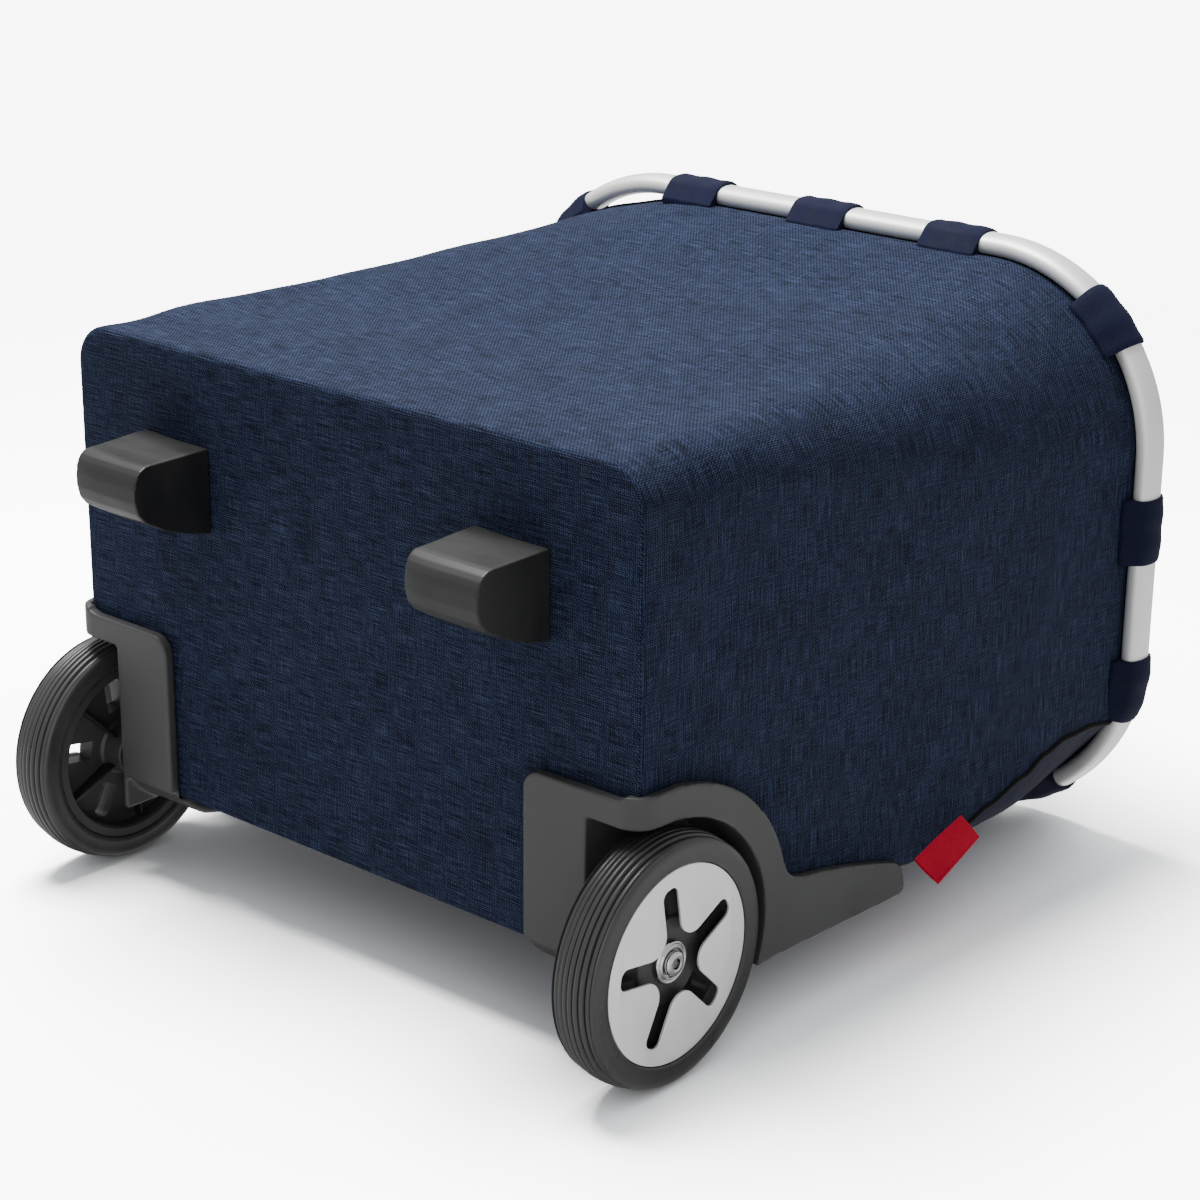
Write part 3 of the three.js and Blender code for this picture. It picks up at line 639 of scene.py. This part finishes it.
def inside_tube(p, z):
    """Above the rim's seam the cloth stays on the inner side of the tube."""
    allowed = through([(BAG_HIGH, 2.0), (BAG_HIGH + 2.4, -4.6), (BAG_HIGH + 8, -TUBE_A - 0.2)], z)
    qx, qy = abs(p.x) - (RING_X - RING_R), abs(p.y) - (RING_Y - RING_R)
    reach = math.hypot(max(qx, 0), max(qy, 0)) + min(max(qx, qy), 0) - RING_R
    if reach <= allowed:
        return p
    if qx > 0 and qy > 0:
        way = Vector((qx, qy)).normalized()
    else:
        way = Vector((1, 0)) if qx > qy else Vector((0, 1))
    way = Vector((math.copysign(way.x, p.x), math.copysign(way.y, p.y)))
    return p - way * (reach - allowed)


def bag_ring(z, off=0.0, cloth=True):
    """The whole outline at one height, with its zones and the distance along it."""
    half = bag_half(z, off)
    points = [p for p, _ in half] + [Vector((-p.x, p.y)) for p, _ in half[-2:0:-1]]
    zones = [zone for _, zone in half] + [zone for _, zone in half[-2:0:-1]]
    count = len(points)
    out = []
    for i, p in enumerate(points):
        tangent = (points[(i + 1) % count] - points[i - 1]).normalized()
        outward = Vector((-tangent.y, tangent.x))
        if outward.dot(p) < 0:
            outward = -outward
        shift = sag(p, outward, z, zones[i]) if cloth else 0.0
        moved = p + outward * shift
        out.append(inside_tube(moved, z) if z > BAG_HIGH else moved)
    lengths = [0.0]
    for a, b in zip(out, out[1:]):
        lengths.append(lengths[-1] + (b - a).length)
    middle = lengths[len(half) - 1]
    return out, zones, [value - middle for value in lengths]


def build_bag():
    edge = 3.2
    levels = []
    for k in range(5):
        a = math.radians(90 * k / 4)
        levels.append((BAG_LOW + edge * (1 - math.sin(a)), -edge * (1 - math.cos(a))))
    levels = levels[::-1]
    top = BAG_HIGH - 0.4
    rows = 84
    heights = [(BAG_LOW + edge + (top - BAG_LOW - edge) * k / rows, 0.0) for k in range(1, rows + 1)]
    heights += [(BAG_HIGH + step, 0.0) for step in (1.0, 2.4, 4.0, 6.0, 8.0)]
    verts, wall_uv, faces, marks = [], [], [], []
    first, _, _ = bag_ring(levels[0][0], levels[0][1], False)
    count = len(first)
    shrink = (0.10, 0.3, 0.5, 0.68, 0.82, 0.92, 0.97)
    verts.append((0, -8, BAG_LOW))
    wall_uv.append(None)
    for s in shrink:
        for p in first:
            place = Vector((p.x * s, -8 + (p.y + 8) * s, BAG_LOW))
            lump = noise.noise(Vector((place.x * 0.012, place.y * 0.012, 0.5)))
            verts.append((place.x, place.y, BAG_LOW + 0.6 * (1 - s * s) * (0.4 + lump)))
            wall_uv.append(None)
    base_rings = len(shrink)
    for z, off in levels + heights:
        points, zones, run = bag_ring(z, off)
        for p, along in zip(points, run):
            verts.append((p.x, p.y, z))
            wall_uv.append((along * MM, z * MM + 1.0))
    for i in range(count):
        faces.append((0, 1 + (i + 1) % count, 1 + i))
        marks.append("base")
    total = base_rings + len(levels) + len(heights)
    for r in range(total - 1):
        for i in range(count):
            j = (i + 1) % count
            a, b = 1 + r * count, 1 + (r + 1) * count
            faces.append((a + i, a + j, b + j, b + i))
            marks.append("base" if r < base_rings + 2 else zones[i if zones[i] >= 0 else 0])
    mesh = bpy.data.meshes.new("bag")
    mesh.from_pydata([(x * MM, y * MM, z * MM) for x, y, z in verts], [], faces)
    layer = mesh.uv_layers.new(name="UVMap")
    for poly, mark in zip(mesh.polygons, marks):
        if mark == "base":
            corners = [(verts[v][0] * MM, verts[v][1] * MM) for v in poly.vertices]
        else:
            corners = [wall_uv[v] for v in poly.vertices]
            last = max(u for u, _ in corners)
            wrap = last - min(u for u, _ in corners)
            if wrap > 0.5:
                corners = [(u + wrap if last - u > 0.5 else u, v) for u, v in corners]
        for loop, uv in zip(poly.loop_indices, corners):
            layer.data[loop].uv = uv
        poly.material_index = 0 if mark == "base" or mark >= 2 else 1
    mesh.materials.append(MELANGE)
    mesh.materials.append(NAVY)
    obj = new_object("bag", mesh)
    bm = bmesh.new()
    bm.from_mesh(mesh)
    bmesh.ops.recalc_face_normals(bm, faces=bm.faces)
    if max(bm.faces, key=lambda f: f.calc_center_median().x).normal.x < 0:
        bmesh.ops.reverse_faces(bm, faces=bm.faces)
    bm.to_mesh(mesh)
    bm.free()
    modifier(obj, "SOLIDIFY", thickness=CLOTH * MM, offset=-1.0, use_even_offset=True)
    room = wheel_room()
    modifier(obj, "BOOLEAN", operation="DIFFERENCE", object=room, solver="EXACT")
    bag = applied(obj, 50)
    bpy.data.objects.remove(room)
    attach(bag, "chassis")
    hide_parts("bag_shell")
    return bag


def wheel_room():
    """The two wheel arches, cut out of the bag."""
    r, x0, x1 = ARCH_IN + 3.6, 151.4, 232.0
    outline = arc(WHEEL_Y, WHEEL_R, r, 180, 0, 48) + [(WHEEL_Y + r, -4.0), (WHEEL_Y - r, -4.0)]
    verts, faces = [], []
    for _, side in SIDES:
        rings = [[(side * x, y, z) for y, z in outline] for x in (x0, x1)]
        v, f = sweep(rings)
        faces += [tuple(len(verts) + i for i in face) for face in f]
        verts += v
    return mesh_object("wheel_room", verts, faces)


def seam_line(z0, z1):
    """The seam between the side panel and the gusset, on the right; low down it lies behind the corner."""
    line = []
    steps = int((z1 - z0) / 3)
    for k in range(steps + 1):
        z = mix(z0, z1, k / steps)
        p = bag_ring(z)[0][SEAM_POINT]
        low = 1 - smooth((z - 250) / 40)
        line.append((p.x + mix(0.3, -2.6, low), p.y + 0.6, z))
    return line


bag = build_bag()


def both(name, points, radius, material, **extra):
    wire(f"{name}_right", points, radius, material, **extra)
    wire(f"{name}_left", [(-x, y, z) for x, y, z in points], radius, material, **extra)


both("piping", seam_line(150, BAG_HIGH + 1), 1.3, BINDING)
rim = bag_ring(BAG_HIGH + 8, -0.4)[0]
wire("rim_binding", [(p.x, p.y, BAG_HIGH + 7.6) for p in rim], 1.5, BINDING, closed=True)


# ---------------------------------------------------------------- label

def build_label():
    """A blank woven tag, folded in half and caught in the seam."""
    width, length, thick = 37.5, 13.6, 0.55
    steps, across = 16, 14
    base = Vector((192.6, 106.8, 258.0))
    run = Vector((0.0, -0.354, 0.935)).normalized()
    out = Vector((0.695, 0.675, 0.256)).normalized()
    lift = run.cross(out).normalized()
    path = []
    for k in range(steps + 1):
        t = k / steps
        path.append((mix(-4.0, length - 0.8, t), thick * 0.8 + 0.7 * math.sin(math.pi * t)))
    path += [(length - 0.2, 0.75), (length + 0.1, 0.0), (length - 0.2, -0.75)]
    for k in range(steps + 1):
        t = 1 - k / steps
        path.append((mix(-4.0, length - 0.8, t), -thick * 0.8 - 0.2 * math.sin(math.pi * t)))
    verts, faces = [], []
    for i in range(across + 1):
        s = i / across - 0.5
        for d, h in path:
            curl = 1.1 * (d / length) ** 2 * math.sin(2.2 * s + 0.4)
            verts.append(tuple(base + run * (s * width) + out * d + lift * (h + curl)))
    count = len(path)
    for i in range(across):
        for j in range(count - 1):
            a = i * count + j
            faces.append((a, a + 1, a + count + 1, a + count))
    obj = mesh_object("label", verts, faces, 60)
    modifier(obj, "SOLIDIFY", thickness=0.35 * MM, offset=0.0)
    modifier(obj, "BEVEL", width=0.12 * MM, segments=2, limit_method="ANGLE")
    return finish_piece(applied(obj, 60), LABEL, nodes=("side_label",))


label = build_label()


# ---------------------------------------------------------------- ring of tube and its loops

CORNERS = ((1, 1), (1, -1), (-1, -1), (-1, 1))


def on_corner(corner, degrees):
    """A point on the tube's centre line and the outward direction there."""
    sx, sy = CORNERS[corner]
    a = math.radians(degrees)
    n = (sx * math.cos(a), sy * math.sin(a))
    return (sx * (RING_X - RING_R) + RING_R * n[0], sy * (RING_Y - RING_R) + RING_R * n[1]), n


def oval(a, c, count):
    out = []
    for i in range(count):
        t = 2 * math.pi * i / count
        out.append((a * math.copysign(abs(math.cos(t)) ** 0.8, math.cos(t)),
                    c * math.copysign(abs(math.sin(t)) ** 0.95, math.sin(t))))
    return out


def section(station, profile):
    (px, py), (nx, ny) = station
    return [(px + nx * u, py + ny * u, RING_Z + v) for u, v in profile]


def build_ring():
    stations = []
    for corner, start, end in ((0, 90, 0), (1, 0, 90), (2, 90, 0), (3, 0, 90)):
        stations += [on_corner(corner, mix(start, end, k / 30)) for k in range(31)]
    profile = oval(TUBE_A, TUBE_C, 40)
    verts, faces = sweep([section(s, profile) for s in stations], closed=True)
    obj = mesh_object("ring_tube", verts, faces, 60)
    return finish_piece(obj, SATIN, nodes=("frame_ring",))


def loop_profile():
    """A band pulled tight round the tube, with both ends sewn to the bag's rim."""
    outer = hull(oval(TUBE_A + 1.9, TUBE_C + 1.9, 48) + [(-3.6, -15.8), (-6.9, -15.8), (-7.4, -9)])
    outer = [tuple(p) for p in resample(outer + [outer[0]], 61)[:-1]]
    return rounded(outer, 0.8, 2)


def build_loop(node, stations, wave):
    profile = loop_profile()
    centre = (-1.2, -1.0)
    rings = []
    count = len(stations)
    for k, station in enumerate(stations):
        s = 2 * k / (count - 1) - 1
        edge = 0.45 * smooth((abs(s) - 0.9) / 0.1)
        ripple = 0.25 * math.cos(7 * s + wave) - 0.25 * s * s
        ring = []
        for u, v in profile:
            du, dv = u - centre[0], v - centre[1]
            size = math.hypot(du, dv)
            grow = ripple - edge
            ring.append((u + du / size * grow, v + dv / size * grow))
        rings.append(section(station, ring))
    inner = oval(TUBE_A + 0.15, TUBE_C + 0.15, 40)
    length = len(profile)
    verts, faces = sweep(rings, closed=False)
    faces = faces[:-2]
    holes = []
    start = len(verts)
    for k in (0, count - 1):
        holes.append(start + len(holes) * len(inner))
        verts += section(stations[k], inner)
    inside = []
    for k in range(1, count - 1):
        inside.append(len(verts))
        verts += section(stations[k], inner)
    order = [holes[0]] + inside + [holes[1]]
    n = len(inner)
    for a, b in zip(order, order[1:]):
        for i in range(n):
            j = (i + 1) % n
            faces.append((a + j, a + i, b + i, b + j))
    name = node.replace("loop_", "strap_")
    mesh = bpy.data.meshes.new(name)
    mesh.from_pydata([(x * MM, y * MM, z * MM) for x, y, z in verts], [], faces)
    bm = bmesh.new()
    bm.from_mesh(mesh)
    bm.verts.ensure_lookup_table()
    for base, hole in ((0, holes[0]), ((count - 1) * length, holes[1])):
        edges = []
        for start, total in ((base, length), (hole, n)):
            for i in range(total):
                pair = (bm.verts[start + i], bm.verts[start + (i + 1) % total])
                edges.append(bm.edges.get(pair) or bm.edges.new(pair))
        bmesh.ops.bridge_loops(bm, edges=edges)
    bm.to_mesh(mesh)
    bm.free()
    obj = new_object(name, mesh)
    tidy_mesh(obj.data, 40)
    return finish_piece(obj, WEBBING, nodes=(node,))


build_ring()
HALF = 17.0
SPREAD = [mix(-HALF, HALF, k / 20) for k in range(21)]
for wave, (name, x) in enumerate(zip(("left", "centre", "right"), FRONT_LOOPS)):
    build_loop(f"loop_front_{name}", [((x + d, -RING_Y), (0, -1)) for d in SPREAD], wave)
for wave, (name, side) in enumerate(SIDES):
    build_loop(f"loop_side_mid_{name}", [((side * RING_X, -17 + d), (side, 0)) for d in SPREAD], wave + 3)
    for place_name, corner, middle in (
        ("side_rear", 0 if side > 0 else 3, 9),
        ("corner_rear", 0 if side > 0 else 3, 63),
        ("corner_front", 1 if side > 0 else 2, 45),
    ):
        stations = [on_corner(corner, middle + math.degrees(d / RING_R)) for d in SPREAD]
        build_loop(f"loop_{place_name}_{name}", stations, wave + middle)


# ---------------------------------------------------------------- wheels

AXLE = (WHEEL_Y, WHEEL_R)
ARMS = [45 + 72 * k for k in range(5)]
ARM_HALF, ARM_TIP = 5.0, 38.5    # half the width of an arm of the cut-out, and its reach


def on_wheel(along, across, degrees):
    a = math.radians(degrees)
    return (WHEEL_Y + along * math.cos(a) - across * math.sin(a),
            WHEEL_R + along * math.sin(a) + across * math.cos(a))


def tyre_profile():
    profile = [(RIM_R + 0.2, TYRE_IN + 0.6), (RIM_R + 0.8, TYRE_IN), (49.5, TYRE_IN), (50.2, TYRE_IN + 0.35),
               (53.6, TYRE_IN + 0.2)]
    profile += [(55.2 + 2.2 * math.sin(a), TYRE_IN + 2.4 - 2.2 * math.cos(a)) for a in (0.35, 0.8, 1.2)]
    centre = (TYRE_IN + TYRE_OUT) / 2
    for k in range(-3, 4):
        x = centre + k * 2.95
        high = WHEEL_R - 0.022 * (k * 2.95) ** 2
        profile += [(high - 1.9, x - 1.47), (high - 0.5, x - 1.2), (high, x - 0.7),
                    (high, x + 0.7), (high - 0.5, x + 1.2), (high - 1.9, x + 1.47)]
    profile += [(55.2 + 2.2 * math.sin(a), TYRE_OUT - 2.4 + 2.2 * math.cos(a)) for a in (1.2, 0.8, 0.35)]
    profile += [(53.4, TYRE_OUT - 0.1), (50.0, TYRE_OUT)]
    profile += [(RIM_R + 0.9, TYRE_OUT), (RIM_R + 0.2, TYRE_OUT - 0.5)]
    return profile


def arm_outline(start, degrees, half, tip):
    curve = arc(tip - 4, half - 4, 4, 0, 90, 8)
    side = [*curve, (start, half)]
    other = [(u, -v) for u, v in side[::-1]]
    return [on_wheel(u, v, degrees) for u, v in other + side]


def star_outline():
    fillet = 9.0
    between = math.pi / 5
    centre = (ARM_HALF + fillet) / math.sin(between)
    out = []
    for degrees in ARMS:
        out += arm_outline((ARM_HALF + fillet) / math.tan(between), degrees, ARM_HALF, ARM_TIP)
        out += [on_wheel(u, v, degrees + 36) for u, v in arc(centre, 0, fillet, 234, 126, 16)[1:-1]]
    return out


def flat_plate(name, outlines, x0, x1, edge):
    """A plate cut from outlines in Y and Z, the first its rim and the rest its holes."""
    curve = bpy.data.curves.new(name, "CURVE")
    curve.dimensions = "2D"
    curve.fill_mode = "BOTH"
    curve.extrude = ((x1 - x0) / 2 - edge) * MM
    curve.bevel_depth = edge * MM
    curve.bevel_resolution = 2
    curve.offset = -edge * MM
    for outline in outlines:
        spline = curve.splines.new("POLY")
        spline.points.add(len(outline) - 1)
        for point, (y, z) in zip(spline.points, outline):
            point.co = (y * MM, z * MM, 0, 1)
        spline.use_cyclic_u = True
    obj = applied(new_object(name, curve), 30)
    obj.data.transform(Matrix(((0, 0, 1, (x0 + x1) / 2 * MM), (1, 0, 0, 0), (0, 1, 0, 0), (0, 0, 0, 1))))
    return obj


def build_rim():
    face, web = HUB_FACE, 177.0
    profile = [
        (6.4, 165.4), (11.6, 165.4), (12.2, 166.0), (13.6, web - 1.2), (15.0, web),
        (39.4, web), (40.6, web - 1), (41.2, TYRE_IN + 1.6), (42.2, TYRE_IN + 0.6),
        (RIM_R - 0.4, TYRE_IN + 0.6),
        (RIM_R, TYRE_IN + 1.2), (RIM_R, 190.4), (RIM_R - 0.4, 190.8),
        (42.4, 190.8), (41.6, 190.2), (40.4, 186.4), (39.6, 185.8), (21.4, 185.8), (20.2, face), (6.4, face),
    ]
    rim = lathe("rim_right", profile, "X", AXLE, 120)
    cutters, cut_faces = [], []
    for degrees in ARMS:
        outline = arm_outline(20.5, degrees, 4.9, 38.4)
        v, f = sweep([[(x, y, z) for y, z in outline] for x in (150.0, 200.0)])
        cut_faces += [tuple(len(cutters) + i for i in face) for face in f]
        cutters += v
    tool = mesh_object("tool", cutters, cut_faces)
    modifier(rim, "BOOLEAN", operation="DIFFERENCE", object=tool, solver="EXACT")
    rim = applied(rim, 30)
    bpy.data.objects.remove(tool)
    return rim


def build_ribs():
    """The stiffening ribs and the ring on the inner side of the wheel."""
    verts, faces = [], []
    for degrees in ARMS:
        rings = []
        for along, low in ((13.0, 169.5), (41.0, 172.0)):
            (y0, z0), (y1, z1) = (on_wheel(along, across, degrees + 36) for across in (-0.8, 0.8))
            rings.append([(low, y0, z0), (low, y1, z1), (177.4, y1, z1), (177.4, y0, z0)])
        v, f = sweep(rings)
        faces += [tuple(len(verts) + i for i in face) for face in f]
        verts += v
    ribs = mesh_object("wheel_ribs_right", verts, faces)
    modifier(ribs, "BEVEL", width=0.3 * MM, segments=2)
    return applied(ribs, 30)


def pair(obj, material, nodes=(), slot=None, body="chassis"):
    """A piece made for the right side, and its mirror image on the left."""
    left = mirrored(obj, obj.name.replace("_right", "") + "_left")
    for made, side in ((obj, "right"), (left, "left")):
        finish_piece(made, material, body.format(side), [f"{n}_{side}" for n in nodes])


WHEEL = "wheel_{}"
tyre = lathe("tyre_tread_right", tyre_profile(), "X", AXLE, 160, 50)
pair(tyre, TYRE, ["tyre"], "tyre", WHEEL)
pair(build_rim(), RIM, ["wheel_rim"], "dark_plastic", WHEEL)
pair(build_ribs(), BLACK, [], "dark_plastic", WHEEL)
circle = arc(WHEEL_Y, WHEEL_R, RIM_R - 0.3, 0, 360, 160)[:-1]
disc = flat_plate("disc_right", [circle, star_outline()], DISC_FACE - DISC_THICK, DISC_FACE, 0.35)
pair(disc, DISC, ["wheel_disc"], "disc_aluminium", WHEEL)
sleeve = [(4.15, 165.0), (6.2, 165.0), (6.2, HUB_FACE), (4.15, HUB_FACE)]
bush = lathe("bush_right", rounded(sleeve, 0.3), "X", AXLE, 64)
pair(bush, BLACK, ["wheel_bush"], "dark_plastic", WHEEL)

washer = lathe("washer_right", rounded([
    (4.3, 187.35), (10.2, 187.35), (10.2, 188.4), (9.6, 189.3), (8.9, 189.4), (8.5, 188.9), (8.1, 189.0),
    (7.6, 189.7), (7.0, 189.7), (6.7, 188.2), (4.3, 188.2),
], 0.25, 2), "X", AXLE, 96, 50)
pair(washer, CHROME, ["bolt_washer"], "bright_steel")
bolt = lathe("bolt_right", [
    (0, 138.4), (3.6, 138.4), (4.0, 138.8), (4.0, 188.3), (5.3, 188.3), (5.9, 188.9), (5.9, 190.6),
    (5.6, 191.4),
    (4.9, 191.9), (2.9, 192.1), (2.5, 191.9), (2.35, 191.4), (2.3, 188.6), (0, 188.6),
], "X", AXLE, 96, 40)
pair(bolt, CHROME, ["axle_bolt"], "bright_steel")


def hex_nut():
    outline = arc(WHEEL_Y, WHEEL_R, 7.4, 0, 300, 5)
    hole = arc(WHEEL_Y, WHEEL_R, 4.2, 0, 360, 36)[:-1]
    return flat_plate("nut_right", [outline, hole], 136.5, 142.6, 0.5)


pair(hex_nut(), STEEL, ["axle_nut"], "bright_steel")


# ---------------------------------------------------------------- moulded parts

pair(softened("wheel_housing_right", "housing_right", 0.9, 3, 0.4), HOUSING, ["wheel_housing"],
     "dark_plastic")


def domed(obj, end):
    """Rounds the end of a foot that faces -X; both feet are the same moulding."""
    depth, reach, plane = 4.2, 20.0, BAG_LOW - 0.1
    for vertex in obj.data.vertices:
        x, y, z = vertex.co / MM
        t = clamp((end + reach - x) / reach)
        spread = clamp(1 - max(abs(y - FOOT_Y) / 25, (plane - z) / 50) ** 2)
        vertex.co = Vector((x - depth * t * t * spread, y - 1.0 * t * smooth((z - 10) / 30) * (y < -78),
                            z + 0.03 * t ** 3 * (plane - z))) * MM
    return obj


for word, side in SIDES:
    foot = domed(softened(f"foot_{word}", f"rest_foot_{word}", 0.7, 3, 0.4), side * FOOT_X - FOOT_HALF)
    finish_piece(foot, FOOT, nodes=(f"foot_{word}",))
for node, name, voxel, smoothing, keep, material, body in (
    ("cross_bar", "rod_bracket", 0.9, 4, 0.35, HOUSING, "chassis"),
    ("handle_collar", "rod_collar", 0.9, 4, 0.35, HOUSING, "chassis"),
    ("handle_grip", "grip", 0.8, 6, 0.4, HOUSING, "grip_stage"),
    ("release_button", "grip_button", 0.6, 4, 0.4, BLACK, "release"),
):
    made = softened(node, name, voxel, smoothing, keep)
    finish_piece(made, material, body, (node,))


# ---------------------------------------------------------------- handle tubes and screws

def pipe(name, r, bore, z0, z1, edge=0.35):
    profile = rounded([(bore, z0), (r, z0), (r, z1), (bore, z1)], edge, 2)
    return lathe(f"{name}_right", profile, "Z", (ROD_X, ROD_Y), 72)


for name, r, bore, z0, z1, body in (
    ("outer_tube", 9.0, 8.0, 116, 425, "chassis"),
    ("middle_tube", 7.75, 6.75, 122, 431, "middle_stage"),
    ("inner_tube", 6.5, 5.3, 130, 457.2, "grip_stage"),
):
    pair(pipe(name.replace("_tube", "_stage_tube"), r, bore, z0, z1), TUBE, [name], "bright_steel", body)
for name, r, bore, z0, z1, body in (
    ("outer_guide", 10.6, 8.0, 425.3, 428.4, "chassis"),
    ("middle_guide", 9.2, 6.75, 431.3, 435.0, "middle_stage"),
):
    guide = pipe(name.replace("_guide", "_guide_ring"), r, bore, z0, z1, 1.0)
    pair(guide, BLACK, [name], "dark_plastic", body)


def screw_head(name, axis, centre, seat, top, r):
    """A pan head with a cross recess."""
    high = abs(top - seat)
    sign = 1 if top > seat else -1
    profile = [(0, seat - sign * 2), (1.7, seat - sign * 2), (1.7, seat), (r, seat)]
    profile += [(r * math.cos(a), seat + sign * high * math.sin(a)) for a in (0.35, 0.7, 1.05, 1.35)]
    profile.append((0, top))
    head = lathe(name, profile, axis, centre, 40)
    verts, faces = [], []
    for turn in (0, 90):
        a = math.radians(turn)
        c, s = math.cos(a), math.sin(a)
        ring = []
        for p in (seat + sign * high * 0.45, top + sign * 1.0):
            corners = ((-0.62, -0.13), (0.62, -0.13), (0.62, 0.13), (-0.62, 0.13))
            ring.append([(r * (u * c - v * s), r * (u * s + v * c), p) for u, v in corners])
        v, f = sweep(ring)
        faces += [tuple(len(verts) + i for i in face) for face in f]
        verts += v
    placed = []
    for u, v, p in verts:
        placed.append((centre[0] + u, centre[1] + v, p) if axis == "Z" else (centre[0] + u, p, centre[1] + v))
    tool = mesh_object("tool", placed, faces)
    modifier(head, "BOOLEAN", operation="DIFFERENCE", object=tool, solver="EXACT", use_self=True)
    head = applied(head, 40)
    bpy.data.objects.remove(tool)
    return head


for name, axis, centre, seat, top, r in (
    ("foot_screw", "Z", (FOOT_X, FOOT_Y), 52.2, 54.2, 4.5),
    ("housing_screw", "Z", (133, 45), 52.2, 54.2, 4.5),
    ("collar_screw", "Z", (60, RING_Y), 425.3, 427.4, 4.0),
    ("cross_bar_screw", "Y", (168, 127), 124.3, 126.6, 4.0),
):
    pair(screw_head(f"{name}_head_right", axis, centre, seat, top, r), STEEL, [name], "bright_steel")


def build_spring():
    """The coil under the release button, at the length of its CAD part; the real coil shortens as the button
    goes in.
    """
    low, high = (corner / MM for corner in map(Vector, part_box("button_spring")))
    thick, turns, steps = 0.4, 4.5, 160
    points = []
    for k in range(steps + 1):
        a = 2 * math.pi * turns * k / steps
        z = mix(low.z + thick, high.z - thick, k / steps)
        points.append((3 * math.cos(a), ROD_Y + 3 * math.sin(a), z))
    spring = wire("release_spring", points, thick, STEEL, "grip_stage")
    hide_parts("button_spring")
    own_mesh(spring)


build_spring()
for node, material in (("frame_joiner", SATIN), ("base_board", BOARD),
                       ("release_rod_right", STEEL), ("release_rod_left", STEEL)):
    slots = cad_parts[node].data.materials
    slots.clear()
    slots.append(material)
